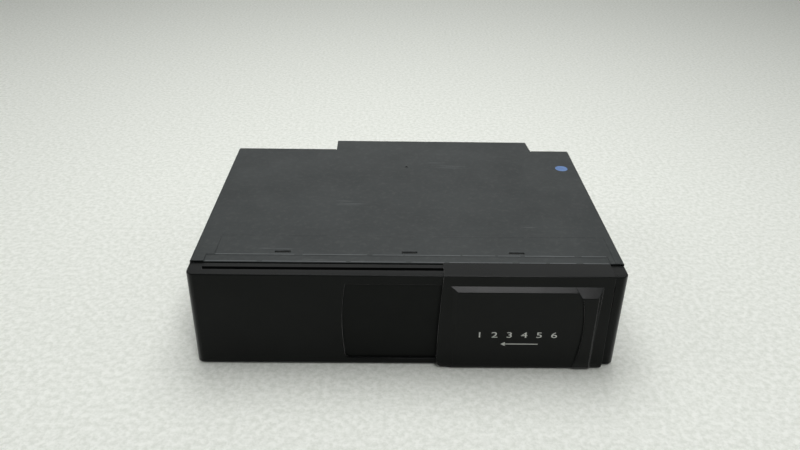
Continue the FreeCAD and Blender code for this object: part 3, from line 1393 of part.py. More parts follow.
def transfer_motor():
    """Flat motor over the left pulley, on a post of the lift platform."""
    z0 = pulley_bottom + pulley_height + seat_gap
    post_x = pulley_x[0] + transfer_motor_radius + 1.5
    body = upright(transfer_motor_radius, pulley_x[0], belt_y, z0, z0 + transfer_motor_height)
    plate = block(pulley_x[0], post_x + 1.5, belt_y - 1.5, belt_y + 1.5, z0, z0 + 1.0)
    post = upright(transfer_post_radius, post_x, belt_y, platform_top, z0 + 0.5)
    return join(body, plate, post)


def transfer_hook():
    """Carriage behind the belt's rear run, with an L-shaped hook that pulls a tray out of the magazine."""
    low, high = first_level - hook_half_height, first_level + hook_half_height
    x0, x1 = hook_x, hook_x + hook_length
    back = hook_front + hook_sheet
    carriage = block(x0, x1, hook_front, back, platform_top + seat_gap, high)
    head_left = tray_left + pull_lip + 0.2
    neck = block(x0, head_left + hook_head, hook_front, back, low, high)
    head = block(head_left, head_left + hook_head, tray_rear - pull_depth + 0.4, back, low, high)
    return join(carriage, neck, head)


# ---------------------------------------- control board
def spacer_places():
    """Centres of the control board's four spacers."""
    return [(x, y) for x in (board_x[0] + board_hole_inset, board_x[1] - board_hole_inset)
            for y in (board_y[0] + board_hole_inset, board_y[1] - board_hole_inset)]


def main_board():
    """Control board under the magazine."""
    board = block(*board_x, *board_y, board_bottom, board_top)
    return board.cut([upright(spacer_stud_radius + spacer_stud_gap, x, y, board_bottom - 1, board_top + 1)
                      for x, y in spacer_places()])


def board_spacers():
    """Spacers with studs between the mechanism frame and the board."""
    return group([join(upright(spacer_radius, x, y, frame_top, board_bottom),
                       upright(spacer_stud_radius, x, y, frame_top, board_top + spacer_stud_reach))
                  for x, y in spacer_places()])


def board_chips():
    """Integrated circuits on the control board."""
    left, front = board_x[0], board_y[0]
    return group([block(left + x, left + x + width, front + y, front + y + depth, board_top,
                        board_top + chip_height)
                  for x, y, width, depth in chips])


def board_capacitors():
    """Round capacitors on the control board."""
    left, front = board_x[0], board_y[0]
    return group([upright(capacitor_radius, left + x, front + y, board_top, board_top + capacitor_height)
                  for x, y in capacitor_places])


# ---------------------------------------- rear interface
def interface_housing():
    """Folded box behind the case for the sockets."""
    wall = housing_wall
    outer = prism([(housing_left, housing_front), (housing_left, housing_rear),
                   (housing_right - housing_taper, housing_rear), (housing_right, housing_front)],
                  "z", housing_bottom, housing_top)
    inner = prism([(housing_left + wall, housing_front + wall), (housing_left + wall, housing_rear - wall),
                   (housing_right - housing_taper - wall, housing_rear - wall),
                   (housing_right - wall, housing_front + wall)], "z", housing_bottom + wall, housing_top + 1)
    cuts = [inner, block(*cable_window_x, housing_front - 1, housing_front + wall + 0.1, *cable_window_z)]
    for x, width, height in ((power_x, power_width, power_height), (optical_x, optical_width,
                                                                    optical_height)):
        cuts.append(block(x - width / 2, x + width / 2, housing_rear - wall - 1, housing_rear + 1,
                          socket_z - height / 2, socket_z + height / 2))
    for number in range(vent_count):
        x = vent_left + vent_pitch * number
        cuts.append(block(x, x + vent_width, housing_rear - wall - 1, housing_rear + 1, *vent_z))
    for x in housing_screw_x:
        for z in housing_screw_z:
            cuts.append(along_y(screw_radius, x, z, housing_front - 1, housing_front + wall + 1))
    return outer.cut(cuts)


def contact_places():
    """Centres of the supply socket's contacts."""
    first = power_x - contact_pitch * (contact_count - 1) / 2
    return [(first + contact_pitch * number, socket_z + side * contact_row_offset)
            for number in range(contact_count) for side in (-1, 1)]


def socket_shell(x, width, height):
    """Moulded socket body, open to the rear."""
    front = housing_rear - socket_depth
    outer = block(x - width / 2, x + width / 2, front, housing_rear, socket_z - height / 2,
                  socket_z + height / 2)
    hollow = block(x - width / 2 + socket_wall, x + width / 2 - socket_wall, front + socket_floor,
                   housing_rear + 1, socket_z - height / 2 + socket_wall, socket_z + height / 2 - socket_wall)
    return outer.cut(hollow)


def power_socket():
    """Supply and data socket."""
    front = housing_rear - socket_depth
    half = contact_width / 2
    holes = [block(x - half, x + half, front - 1, front + socket_floor + 1, z - half, z + half)
             for x, z in contact_places()]
    return socket_shell(power_x, power_width, power_height).cut(holes)


def power_contacts():
    """Two rows of contacts in the supply socket."""
    front = housing_rear - socket_depth
    half = contact_width / 2
    return group([block(x - half, x + half, front - interface_board_sheet, front + contact_reach, z - half,
                        z + half)
                  for x, z in contact_places()])


def optical_socket():
    """Fibre socket with two ferrule posts."""
    front = housing_rear - socket_depth
    shell = socket_shell(optical_x, optical_width, optical_height)
    posts = []
    for x in (optical_x - ferrule_offset, optical_x + ferrule_offset):
        post = along_y(ferrule_radius, x, socket_z, front + 1.0, front + socket_floor + ferrule_length)
        posts.append(post.cut(along_y(ferrule_bore, x, socket_z, front + socket_floor, housing_rear)))
    return join(shell, *posts)


def interface_board():
    """Upright board in the rear housing that carries both sockets."""
    rear = housing_rear - socket_depth
    board = block(housing_screw_x[0] + interface_board_inset, housing_screw_x[1] - interface_board_inset,
                  rear - interface_board_sheet, rear, housing_bottom + housing_wall,
                  housing_top - interface_board_drop)
    half = contact_width / 2
    holes = [block(x - half, x + half, rear - 3, rear + 1, z - half, z + half) for x, z in contact_places()]
    return board.cut(holes)


NODES = {
    "top_cover": top_cover,
    "bottom_chassis": bottom_chassis,
    "chassis_screws": chassis_screws,
    "case_screws": case_screws,
    "bracket_nuts": bracket_nuts,
    "angle_dial_left": lambda: angle_dial(-1),
    "angle_dial_right": lambda: angle_dial(1),
    "bezel": bezel,
    "sliding_door": sliding_door,
    "door_shutter": door_shutter,
    "magazine_mouth": magazine_mouth,
    "eject_button": eject_button,
    "latch_lever": latch_lever,
    "frame_pins": frame_pins,
    "ejector_arm": ejector_arm,
    "magazine_case": magazine_case,
    "magazine_guide": magazine_guide,
    "mechanism_frame": mechanism_frame,
    "cam_slide": cam_slide,
    "lift_pinion": lift_pinion,
    "lift_wheel": lift_wheel,
    "lift_motor_gear": lift_motor_gear,
    "lift_motor": lift_motor,
    "motor_bracket": motor_bracket,
    "lift_platform": lift_platform,
    "damper_bushes": damper_bushes,
    "player_chassis": player_chassis,
    "spindle_motor": spindle_motor,
    "turntable": turntable,
    "pickup_sled": pickup_sled,
    "objective_lens": objective_lens,
    "guide_rod": guide_rod,
    "lead_screw": lead_screw,
    "sled_pinion": sled_pinion,
    "sled_motor": sled_motor,
    "clamp_arm": clamp_arm,
    "clamp_puck": clamp_puck,
    "clamp_pins": clamp_pins,
    "clamp_spring": clamp_spring,
    "belt_pulley_left": lambda: belt_pulley(pulley_x[0]),
    "belt_pulley_right": lambda: belt_pulley(pulley_x[1]),
    "pulley_pins": pulley_pins,
    "transfer_belt": transfer_belt,
    "transfer_motor": transfer_motor,
    "transfer_hook": transfer_hook,
    "main_board": main_board,
    "board_spacers": board_spacers,
    "board_chips": board_chips,
    "board_capacitors": board_capacitors,
    "interface_housing": interface_housing,
    "power_socket": power_socket,
    "power_contacts": power_contacts,
    "optical_socket": optical_socket,
    "interface_board": interface_board,
}
for tray_number in range(tray_count):
    NODES[f"disc_tray_{tray_number + 1}"] = lambda level=tray_number: disc_tray(level)


def main():
    """Builds every node and writes it to parts/."""
    os.makedirs("parts", exist_ok=True)
    for name, make in NODES.items():
        shape = make()
        shape.translate(SHIFT)
        shape.exportStep(f"parts/{name}.step")
        print(f"{name}: {len(shape.Solids)} solids, {shape.Volume / 1000:.2f} cm3, valid {shape.isValid()}")


if __name__ == "__main__":
    main()
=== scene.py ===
"""Looks of a car CD changer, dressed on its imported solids: steel case, moulded front and inner mechanism.

Every size is in metres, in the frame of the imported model: +X to the right seen from the front, +Y from the
front to the rear sockets and +Z up.
"""
import json
import logging
import math
import random
from dataclasses import dataclass, field
from enum import Enum
from typing import Any, Iterable

import bmesh
import bpy
from mathutils import Matrix, Vector


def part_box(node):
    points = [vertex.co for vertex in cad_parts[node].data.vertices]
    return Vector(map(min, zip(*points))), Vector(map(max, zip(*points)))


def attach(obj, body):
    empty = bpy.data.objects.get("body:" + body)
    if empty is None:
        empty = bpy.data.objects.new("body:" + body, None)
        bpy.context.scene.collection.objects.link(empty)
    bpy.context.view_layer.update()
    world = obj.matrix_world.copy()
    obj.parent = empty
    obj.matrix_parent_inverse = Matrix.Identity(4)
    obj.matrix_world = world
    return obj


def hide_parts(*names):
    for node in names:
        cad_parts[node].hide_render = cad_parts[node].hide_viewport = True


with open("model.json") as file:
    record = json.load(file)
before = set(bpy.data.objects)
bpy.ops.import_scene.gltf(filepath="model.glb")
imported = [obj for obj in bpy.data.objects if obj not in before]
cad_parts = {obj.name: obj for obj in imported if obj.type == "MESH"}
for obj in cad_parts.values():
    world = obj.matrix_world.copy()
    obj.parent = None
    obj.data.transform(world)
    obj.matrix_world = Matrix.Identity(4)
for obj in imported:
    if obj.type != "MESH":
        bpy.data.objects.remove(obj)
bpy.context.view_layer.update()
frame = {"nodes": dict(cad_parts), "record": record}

MM = 0.001
WELD = 0.002 * MM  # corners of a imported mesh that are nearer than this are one
LOG = logging.getLogger("cd_changer")
Box = tuple[Vector, Vector]
Colour = tuple[float, float, float, float]
Point = tuple[float, float, float]
Piece = bpy.types.Object
Tree = bpy.types.NodeTree
Node = bpy.types.Node
Socket = bpy.types.NodeSocket


# ---------------------------------------------------------------- small tools
def linear(code: str) -> Colour:
    """Turns an sRGB hex colour into the linear colour that a shader takes.

    Args:
        code: six hex digits after a hash sign.

    Returns:
        Red, green, blue and an alpha of 1.
    """
    parts = [int(code[at:at + 2], 16) / 255 for at in (1, 3, 5)]
    red, green, blue = (c / 12.92 if c <= 0.04045 else ((c + 0.055) / 1.055) ** 2.4 for c in parts)
    return red, green, blue, 1.0


def add(tree: Tree, kind: str, inputs: dict[Any, Any] | None = None, **settings: Any) -> Node:
    """Adds one node with its settings and links.

    Args:
        tree: the node tree that gets it.
        kind: Blender's name of the node.
        inputs: for each socket, by name or number, an output to link from or a value to set.
        settings: the node's own properties.

    Returns:
        The new node.
    """
    node = tree.nodes.new(kind)
    for name, value in settings.items():
        setattr(node, name, value)
    for socket, source in (inputs or {}).items():
        if isinstance(source, Socket):
            tree.links.new(source, node.inputs[socket])
        else:
            node.inputs[socket].default_value = source
    return node


def ramp(tree: Tree, source: Socket, stops: Iterable[tuple[float, Colour]]) -> Any:
    """Colours a number by a ramp of stops and gives the colour output."""
    node = add(tree, "ShaderNodeValToRGB", {"Fac": source})
    elements = node.color_ramp.elements
    for index, (place, colour) in enumerate(stops):
        stop = elements[index] if index < 2 else elements.new(place)
        stop.position = place
        stop.color = colour
    return node.outputs["Color"]


def grey(value: float) -> Colour:
    """Gives a plain number as a colour."""
    return value, value, value, 1.0


def noise(tree: Tree, place: Socket, size: float, detail: float, roughness: float = 0.5) -> Socket:
    """Gives a noise between 0 and 1.

    Args:
        tree: the node tree that gets it.
        place: the point output that it is drawn over.
        size: the size of its broadest patches.
        detail: how many times finer patches are laid over it.
        roughness: the share that each finer layer keeps.

    Returns:
        The noise as a number output.
    """
    return add(tree, "ShaderNodeTexNoise", {"Vector": place, "Scale": 1 / size, "Detail": detail,
                                            "Roughness": roughness}).outputs["Fac"]


def fade(tree: Tree, source: Socket, start: float, end: float, top: float = 1.0, low: float = 0.0) -> Socket:
    """Turns a number that goes from start to end into one that goes from low to top, and no further."""
    return add(tree, "ShaderNodeMapRange", {"Value": source, "From Min": start, "From Max": end,
                                            "To Min": low, "To Max": top}).outputs["Result"]


def blend(tree: Tree, share: Socket, base: Socket, tone: str) -> Socket:
    """Lays a plain tone over a colour output by a share."""
    return add(tree, "ShaderNodeMix", {"Factor": share, 6: base, 7: linear(tone)},
               data_type="RGBA").outputs[2]


def extent(points: list[Vector]) -> Box:
    """Gives the lowest and highest corner of the box round some points."""
    low, high = (Vector([edge(point[i] for point in points) for i in range(3)]) for edge in (min, max))
    return low, high


def clear_selection() -> None:
    """Deselects everything, so that an operator acts only on what is picked next."""
    if bpy.context.mode != "OBJECT":
        bpy.ops.object.mode_set(mode="OBJECT")
    bpy.ops.object.select_all(action="DESELECT")


def pick(piece: Piece) -> Piece:
    """Selects one piece alone and makes it active."""
    clear_selection()
    piece.select_set(True)
    bpy.context.view_layer.objects.active = piece
    return piece


def settle(piece: Piece, name: str) -> Piece:
    """Moves a piece's place, turn and size into its mesh, and names it.

    Args:
        piece: the finished piece.
        name: its new name.

    Returns:
        The same piece, with its object at the origin.
    """
    pick(piece)
    bpy.ops.object.transform_apply(location=True, rotation=True, scale=True)
    piece.name = name
    piece.data.name = name
    return piece


def joined(pieces: list[Piece], name: str) -> Piece:
    """Joins pieces as one, with its place in its mesh, and names it.

    Args:
        pieces: the finished pieces. They are used up.
        name: the name of the joined piece.

    Returns:
        The joined piece.
    """
    clear_selection()
    for piece in pieces:
        piece.select_set(True)
    bpy.context.view_layer.objects.active = pieces[0]
    if len(pieces) > 1:
        bpy.ops.object.join()
    return settle(pieces[0], name)


def apply_modifier(piece: Piece, kind: str, **settings: Any) -> Piece:
    """Adds one modifier with its settings and applies it.

    Args:
        piece: the piece that it shapes.
        kind: Blender's name of the modifier.
        settings: the modifier's own properties.

    Returns:
        The same piece.
    """
    pick(piece)
    modifier = piece.modifiers.new(kind.title(), kind)
    for name, value in settings.items():
        setattr(modifier, name, value)
    bpy.ops.object.modifier_apply(modifier=modifier.name)
    return piece


def smooth(piece: Piece, degrees: float = 32.0) -> Piece:
    """Shades a piece smooth across edges that turn less than the given angle."""
    pick(piece)
    bpy.ops.object.shade_smooth_by_angle(angle=math.radians(degrees))
    return piece


def block(low: Vector, high: Vector) -> Piece:
    """Adds a block between two corners."""
    clear_selection()
    bpy.ops.mesh.primitive_cube_add(size=1, location=(low + high) / 2, scale=high - low)
    bpy.ops.object.transform_apply(location=True, rotation=True, scale=True)
    return bpy.context.active_object


def triangle(radius: float, thickness: float, place: Point, turn: float) -> Piece:
    """Adds a flat triangle that stands upright and faces the front.

    Args:
        radius: the distance from its middle to its corners.
        thickness: its thickness.
        place: its middle.
        turn: how far it is turned in its own plane, in degrees.

    Returns:
        The triangle, with its place in its mesh.
    """
    clear_selection()
    bpy.ops.mesh.primitive_cylinder_add(vertices=3, radius=radius, depth=thickness)
    piece = bpy.context.active_object
    piece.data.transform(Matrix.Translation(place) @ Matrix.Rotation(math.radians(90), 4, "X")
                         @ Matrix.Rotation(math.radians(turn), 4, "Z"))
    return piece


def turned(profile: list[tuple[float, float]], centre: Vector, steps: int) -> Piece:
    """Spins a profile round an upright axis, as on a lathe.

    Args:
        profile: points of radius and height, from the lowest to the highest.
        centre: the point that the heights start from.
        steps: how many sides the round has.

    Returns:
        A closed turned piece with its place in its mesh.
    """
    clear_selection()
    bpy.ops.mesh.primitive_circle_add(vertices=steps, radius=profile[0][0], fill_type="NGON",
                                      location=(0, 0, profile[0][1]))
    piece = bpy.context.active_object
    bpy.ops.object.transform_apply(location=True, rotation=False, scale=False)
    bpy.ops.object.mode_set(mode="EDIT")
    bpy.ops.mesh.select_all(action="SELECT")
    for (radius, height), (next_radius, next_height) in zip(profile, profile[1:]):
        bpy.ops.mesh.extrude_region_move(TRANSFORM_OT_translate={"value": (0, 0, next_height - height)})
        share = next_radius / radius
        bpy.ops.transform.resize(value=(share, share, 1), center_override=(0, 0, next_height))
    bpy.ops.mesh.select_all(action="SELECT")
    bpy.ops.mesh.normals_make_consistent(inside=False)
    bpy.ops.object.mode_set(mode="OBJECT")
    piece.data.transform(Matrix.Translation(centre))
    return smooth(piece)


def copies(model: Piece, moves: Iterable[Matrix], name: str) -> Piece:
    """Copies one modelled piece to several places, each with its own mesh, and joins them as one piece.

    Args:
        model: the piece that is modelled once. It is used up.
        moves: one matrix for each copy.
        name: the name of the joined piece.

    Returns:
        The joined piece.
    """
    made = []
    for move in moves:
        twin = model.copy()
        twin.data = model.data.copy()
        bpy.context.scene.collection.objects.link(twin)
        twin.data.transform(move)
        made.append(twin)
    bpy.data.objects.remove(model)
    return joined(made, name)


NUMERAL_SHARE = 0.72  # height of the typeface's numerals, as a share of its size


def lettering(text: str, height: float, thickness: float, width: float | None = None) -> Piece:
    """Makes flat numerals as a mesh that stands upright and faces the front, centred on the origin.

    Args:
        text: what is printed.
        height: the height of a numeral.
        thickness: the thickness of the ink.
        width: the width of the whole line, or None for the typeface's own.

    Returns:
        The numerals as one mesh.
    """
    clear_selection()
    bpy.ops.object.text_add()
    piece = bpy.context.active_object
    piece.data.body = text
    piece.data.size = height / NUMERAL_SHARE
    piece.data.align_x = "CENTER"
    piece.data.align_y = "CENTER"
    piece.data.extrude = thickness / 2
    piece.data.resolution_u = 4
    bpy.ops.object.convert(target="MESH")
    piece = bpy.context.active_object
    low, high = extent([vert.co for vert in piece.data.vertices])
    share = width / (high.x - low.x) if width else 1.0
    upright = Matrix.Rotation(math.radians(90), 4, "X") @ Matrix.Diagonal((share, 1, 1, 1))
    piece.data.transform(upright @ Matrix.Translation(-(low + high) / 2))
    return piece


def solids_of(node: str) -> list[Box]:
    """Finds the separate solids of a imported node.

    Args:
        node: the node's name.

    Returns:
        The lowest and highest corner of each solid, in order of x and then y.
    """
    mesh = bmesh.new()
    mesh.from_mesh(frame["nodes"][node].data)
    bmesh.ops.remove_doubles(mesh, verts=mesh.verts, dist=WELD)
    mesh.verts.ensure_lookup_table()
    left = set(mesh.verts)
    found = []
    while left:
        stack = [left.pop()]
        points = []
        while stack:
            vert = stack.pop()
            points.append(vert.co.copy())
            for edge in vert.link_edges:
                other = edge.other_vert(vert)
                if other in left:
                    left.remove(other)
                    stack.append(other)
        found.append(extent(points))
    mesh.free()
    return sorted(found, key=lambda box: (round(box[0].x, 5), round(box[0].y, 5)))


def choose_edges(piece: Piece, angle: float = 24.0, least: float = 3 * MM) -> None:
    """Marks the outer edges that a moulder or a press would leave rounded.

    Sharp edges that follow each other count as one, so the short pieces of a curve are kept with it, and what
    is shorter than the least length stays sharp.

    Args:
        piece: the piece whose edges are marked.
        angle: the least turn of a sharp edge, in degrees.
        least: the least length of a marked run.
    """
    mesh = bmesh.new()
    mesh.from_mesh(piece.data)
    weight = mesh.edges.layers.float.new("bevel_weight_edge")
    sharp = {e for e in mesh.edges if len(e.link_faces) == 2 and e.calc_face_angle(0.0) > math.radians(angle)}
    left = list(sharp)
    seen: set[bmesh.types.BMEdge] = set()
    for start in left:
        if start in seen:
            continue
        seen.add(start)
        chain = [start]
        for edge in chain:
            for vert in edge.verts:
                meeting = [other for other in vert.link_edges if other in sharp]
                if len(meeting) == 2:
                    fresh = [other for other in meeting if other not in seen]
                    seen.update(fresh)
                    chain.extend(fresh)
        if sum(edge.calc_length() for edge in chain) >= least:
            for edge in chain:
                edge[weight] = 1.0 if edge.is_convex else 0.0
    mesh.to_mesh(piece.data)
    mesh.free()


FLAT_TURN = 0.6      # degrees: faces that turn less than this are one flat face
ROUND_TURN = 31.0    # degrees: a rounding's strips turn less than this, and the edges left sharp turn more


def soft_copy(node: str, width: float) -> Piece:
    """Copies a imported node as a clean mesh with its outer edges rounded, and stands it in for the node.

    Args:
        node: the node's name.
        width: the width of the rounding.

    Returns:
        The rounded piece, whose broad faces shade flat.
    """
    piece = bpy.data.objects.new(node + "_moulding", frame["nodes"][node].data.copy())
    bpy.context.scene.collection.objects.link(piece)
    piece.data.materials.clear()
    pick(piece)
    bpy.ops.mesh.customdata_custom_splitnormals_clear()
    bpy.ops.object.mode_set(mode="EDIT")
    bpy.ops.mesh.select_all(action="SELECT")
    bpy.ops.mesh.remove_doubles(threshold=WELD)
    bpy.ops.mesh.dissolve_limited(angle_limit=math.radians(FLAT_TURN))
    bpy.ops.object.mode_set(mode="OBJECT")
    choose_edges(piece)
    apply_modifier(piece, "BEVEL", width=width, segments=3, limit_method="WEIGHT", use_clamp_overlap=False)
    smooth(piece, ROUND_TURN)
    apply_modifier(piece, "WEIGHTED_NORMAL", mode="FACE_AREA", weight=50, keep_sharp=True)
    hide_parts(node)
    return piece


# ---------------------------------------------------------------- finishes
class Slot(Enum):
    """The record's material slots."""

    COVER = "cover_steel"
    CHASSIS = "chassis_steel"
    BEZEL = "bezel_plastic"
    DOOR = "door_plastic"
    SHUTTER = "shutter_plastic"
    BUTTON = "button_plastic"
    DIAL = "dial_plastic"
    MAGAZINE = "magazine_plastic"
    TRAY = "tray_plastic"
    LEVER = "lever_plastic"
    SCREW = "screw_steel"
    PIN = "pin_steel"
    MOTOR = "motor_steel"
    GEAR = "gear_brass"
    BELT = "belt_rubber"
    LENS = "lens_glass"
    LAMINATE = "board_laminate"
    CHIP = "chip_plastic"
    SOCKET = "socket_plastic"
    CONTACT = "contact_metal"


@dataclass(frozen=True)
class Finish:
    """A surface that is the same all over apart from fine tone, roughness and relief."""

    name: str
    tone: str
    second_tone: str
    roughness: float
    grain: float
    relief: float
    metallic: float = 0.0
    level: float = 0.5
    coat: float = 0.0
    cloud: float = 0.03
    patch_share: float = 0.4
    uneven: float = 0.08

    def surface(self, tree: Tree, place: Socket) -> Socket:
        """Gives the colour output: two tones that drift into each other over a few centimetres."""
        return ramp(tree, noise(tree, place, self.cloud, detail=5.0, roughness=0.6),
                    ((0.36, linear(self.tone)), (0.66, linear(self.second_tone))))

    def height(self, tree: Tree, place: Socket) -> Socket:
        """Gives the height output of the fine grain."""
        return noise(tree, place, self.grain, detail=2.0, roughness=0.55)

    def gloss(self, tree: Tree, place: Socket) -> Socket:
        """Gives the roughness output: a little duller and glossier in patches, as handled surfaces are."""
        return fade(tree, noise(tree, place, self.cloud * self.patch_share, detail=4.0), start=0.3, end=0.7,
                    top=self.roughness * (1 + self.uneven), low=self.roughness * (1 - self.uneven))

    def material(self) -> bpy.types.Material:
        """Builds the material once and gives the same one each time."""
        if self.name in bpy.data.materials:
            return bpy.data.materials[self.name]
        made = bpy.data.materials.new(self.name)
        made.use_nodes = True
        tree = made.node_tree
        tree.nodes.clear()
        place = add(tree, "ShaderNodeTexCoord").outputs["Object"]
        bump = add(tree, "ShaderNodeBump", {"Height": self.height(tree, place), "Distance": self.relief,
                                            "Strength": 1.0})
        shader = add(tree, "ShaderNodeBsdfPrincipled",
                     {"Base Color": self.surface(tree, place), "Roughness": self.gloss(tree, place),
                      "Normal": bump.outputs["Normal"], "Metallic": self.metallic,
                      "Specular IOR Level": self.level, "Coat Weight": self.coat})
        self.extra(shader)
        add(tree, "ShaderNodeOutputMaterial", {"Surface": shader.outputs["BSDF"]})
        return made

    def extra(self, shader: Node) -> None:
        """Sets what only this finish has, straight on the shader."""


@dataclass(frozen=True)
class PaintedSteel(Finish):
    """Powder-coated steel: a satin black skin with fine pits, patches of dust and a few rub marks."""

    dust: str = "#6A6D69"
    dust_grain: float = 3.5 * MM
    dust_cover: float = 0.2
    rub: str = "#85888A"
    rub_slant: float = 0.5
    rub_mark: Point = (50.0 * MM, 1.1 * MM, 20.0 * MM)
    rub_spread: float = 45.0 * MM
    rub_cover: float = 0.5

    def surface(self, tree: Tree, place: Socket) -> Socket:
        """Gives the paint's colour under patches of dust and thin rub marks."""
        dust = noise(tree, place, self.dust_grain, detail=6.0, roughness=0.72)
        haze = fade(tree, dust, start=0.5, end=0.8, top=self.dust_cover)
        dusty = blend(tree, haze, super().surface(tree, place), self.dust)
        # Rub marks: hair-thin lines that show only where a broad noise lets them.
        stretched = add(tree, "ShaderNodeMapping", {"Vector": place, "Rotation": (0, 0, self.rub_slant),
                                                    "Scale": tuple(1 / size for size in self.rub_mark)})
        lines = noise(tree, stretched.outputs["Vector"], size=1.0, detail=1.0)
        where = noise(tree, place, self.rub_spread, detail=2.0)
        rubs = add(tree, "ShaderNodeMath", {0: fade(tree, lines, start=0.7, end=0.76),
                                            1: fade(tree, where, start=0.58, end=0.66, top=self.rub_cover)},
                   operation="MULTIPLY")
        return blend(tree, rubs.outputs["Value"], dusty, self.rub)


@dataclass(frozen=True)
class MouldedPlastic(Finish):
    """Moulded ABS: spark-eroded grain that scatters the light, with a few specks of dust."""

    speck: str = "#7E807C"
    specks: float = 0.0
    speck_pitch: float = 6.0 * MM
    bare_share: float = 0.72
    bloom: float = 0.0
    bloom_spread: float = 0.35

    def surface(self, tree: Tree, place: Socket) -> Socket:
        """Gives the plastic's colour with sparse pale specks."""
        base = super().surface(tree, place)
        if self.specks <= 0:
            return base
        cells = add(tree, "ShaderNodeTexVoronoi", {"Vector": place, "Scale": 1 / self.speck_pitch,
                                                   "Randomness": 1.0})
        near = fade(tree, cells.outputs["Distance"], start=0.05, end=0.025, top=self.specks)
        chosen = add(tree, "ShaderNodeMath", {0: cells.outputs["Color"], 1: self.bare_share},
                     operation="GREATER_THAN")
        shown = add(tree, "ShaderNodeMath", {0: near, 1: chosen.outputs["Value"]}, operation="MULTIPLY")
        return blend(tree, shown.outputs["Value"], base, self.speck)

    def extra(self, shader: Node) -> None:
        """Sets the pale bloom that fine dust gives where the surface is seen at a low angle."""
        shader.inputs["Sheen Weight"].default_value = self.bloom
        shader.inputs["Sheen Roughness"].default_value = self.bloom_spread


@dataclass(frozen=True)
class ZincSteel(Finish):
    """Zinc-plated sheet: pale grey with broad crystal patches and the faint lines of the rolling mill."""

    spangle: float = 6.0 * MM
    mill_line: float = 40.0 * MM

    def surface(self, tree: Tree, place: Socket) -> Socket:
        """Gives the crystal patches' colour."""
        cells = add(tree, "ShaderNodeTexVoronoi", {"Vector": place, "Scale": 1 / self.spangle,
                                                   "Randomness": 1.0})
        return ramp(tree, cells.outputs["Color"],
                    ((0.15, linear(self.tone)), (0.85, linear(self.second_tone))))

    def height(self, tree: Tree, place: Socket) -> Socket:
        """Gives long shallow rolling lines along the sheet."""
        lines = add(tree, "ShaderNodeMapping",
                    {"Vector": place, "Scale": (1 / self.mill_line, 1 / self.grain, 1 / self.grain)})
        return noise(tree, lines.outputs["Vector"], size=1.0, detail=3.0)


WAVE_TURN = 20.0  # at a scale of 1, the wave pattern turns by 20 radians in each metre


@dataclass(frozen=True)
class TurnedMetal(Finish):
    """Turned or drawn metal: fine rings that the tool leaves across the piece."""

    def height(self, tree: Tree, place: Socket) -> Socket:
        """Gives the tool marks."""
        return add(tree, "ShaderNodeTexWave", {"Vector": place, "Scale": 1 / (self.grain * WAVE_TURN),
                                               "Distortion": 3.0, "Detail": 2.0},
                   bands_direction="Z").outputs["Fac"]


@dataclass(frozen=True)
class CircuitLaminate(Finish):
    """Glass-fibre board under green lacquer: darker tracks on a lighter ground, with bright solder points."""

    track: str = "#1F4A33"
    track_pitch: float = 4.0 * MM
    solder: str = "#B9BCB8"
    solder_pitch: float = 3.5 * MM

    def surface(self, tree: Tree, place: Socket) -> Socket:
        """Gives the lacquer's colour over the tracks, and solder points on a grid."""
        base = super().surface(tree, place)
        tracks = add(tree, "ShaderNodeTexBrick", {"Vector": place, "Scale": 1 / self.track_pitch,
                                                  "Color1": grey(0.0), "Color2": grey(1.0),
                                                  "Mortar": grey(0.5), "Mortar Size": 0.06,
                                                  "Brick Width": 2.6, "Row Height": 0.5})
        drawn = blend(tree, tracks.outputs["Fac"], base, self.track)
        points = add(tree, "ShaderNodeTexVoronoi", {"Vector": place, "Scale": 1 / self.solder_pitch,
                                                    "Randomness": 0.55})
        return blend(tree, fade(tree, points.outputs["Distance"], start=0.2, end=0.14), drawn, self.solder)


@dataclass(frozen=True)
class CoatedLens(Finish):
    """A pressed glass lens with a coating that glints blue."""

    tint: str = "#3C5FA8"
    bend: float = 1.52

    def extra(self, shader: Node) -> None:
        """Sets the glass and its tinted coat."""
        shader.inputs["Coat Tint"].default_value = linear(self.tint)
        shader.inputs["IOR"].default_value = self.bend


# Powder-coated steel. Its satin skin catches a soft sheen from behind and shows dust.
SATIN_BLACK_PAINT = PaintedSteel("satin_black_powder_coat", "#2B2F2F", "#323636", roughness=0.5,
                                 grain=1.1 * MM, relief=0.02 * MM, level=0.28, cloud=0.055)
# The same paint, rubbed thin along the pressed edges, and made pale enough that its broken grey line is also
# a painted highlight on those edges.
WORN_PAINT_AND_HIGHLIGHT = Finish("rubbed_paint_with_painted_highlight", "#565A5C", "#646869", roughness=0.4, grain=1.1 * MM,
                      relief=0.01 * MM, level=0.4)
# Spark-eroded ABS. The grain is drawn at 0.5 mm, coarser than the real 0.1 mm, so that it shows.
BLACK_ABS = MouldedPlastic("spark_eroded_black_abs", "#0B0D0C", "#0F1110", roughness=0.25, grain=0.5 * MM,
                           relief=0.012 * MM, level=0.1, specks=0.15, bloom=0.45)
DOOR_ABS = MouldedPlastic("fine_satin_black_abs", "#0B0D0C", "#0F1110", roughness=0.2, grain=0.45 * MM,
                          relief=0.008 * MM, level=0.13, specks=0.15, bloom=0.2)
SHUTTER_ABS = MouldedPlastic("smooth_black_abs", "#0B0D0C", "#0F1110", roughness=0.4, grain=0.4 * MM,
                             relief=0.006 * MM, level=0.11, specks=0.25)
BUTTON_ABS = MouldedPlastic("dark_grey_button_abs", "#2A2C2E", "#303234", roughness=0.45, grain=0.4 * MM,
                            relief=0.006 * MM, level=0.35)
DIAL_NYLON = MouldedPlastic("black_glass_filled_nylon", "#1B1C1D", "#222324", roughness=0.52, grain=0.5 * MM,
                            relief=0.01 * MM, level=0.35)
MAGAZINE_ABS = MouldedPlastic("graphite_magazine_abs", "#242628", "#2B2D2F", roughness=0.44, grain=0.45 * MM,
                              relief=0.008 * MM, level=0.35)
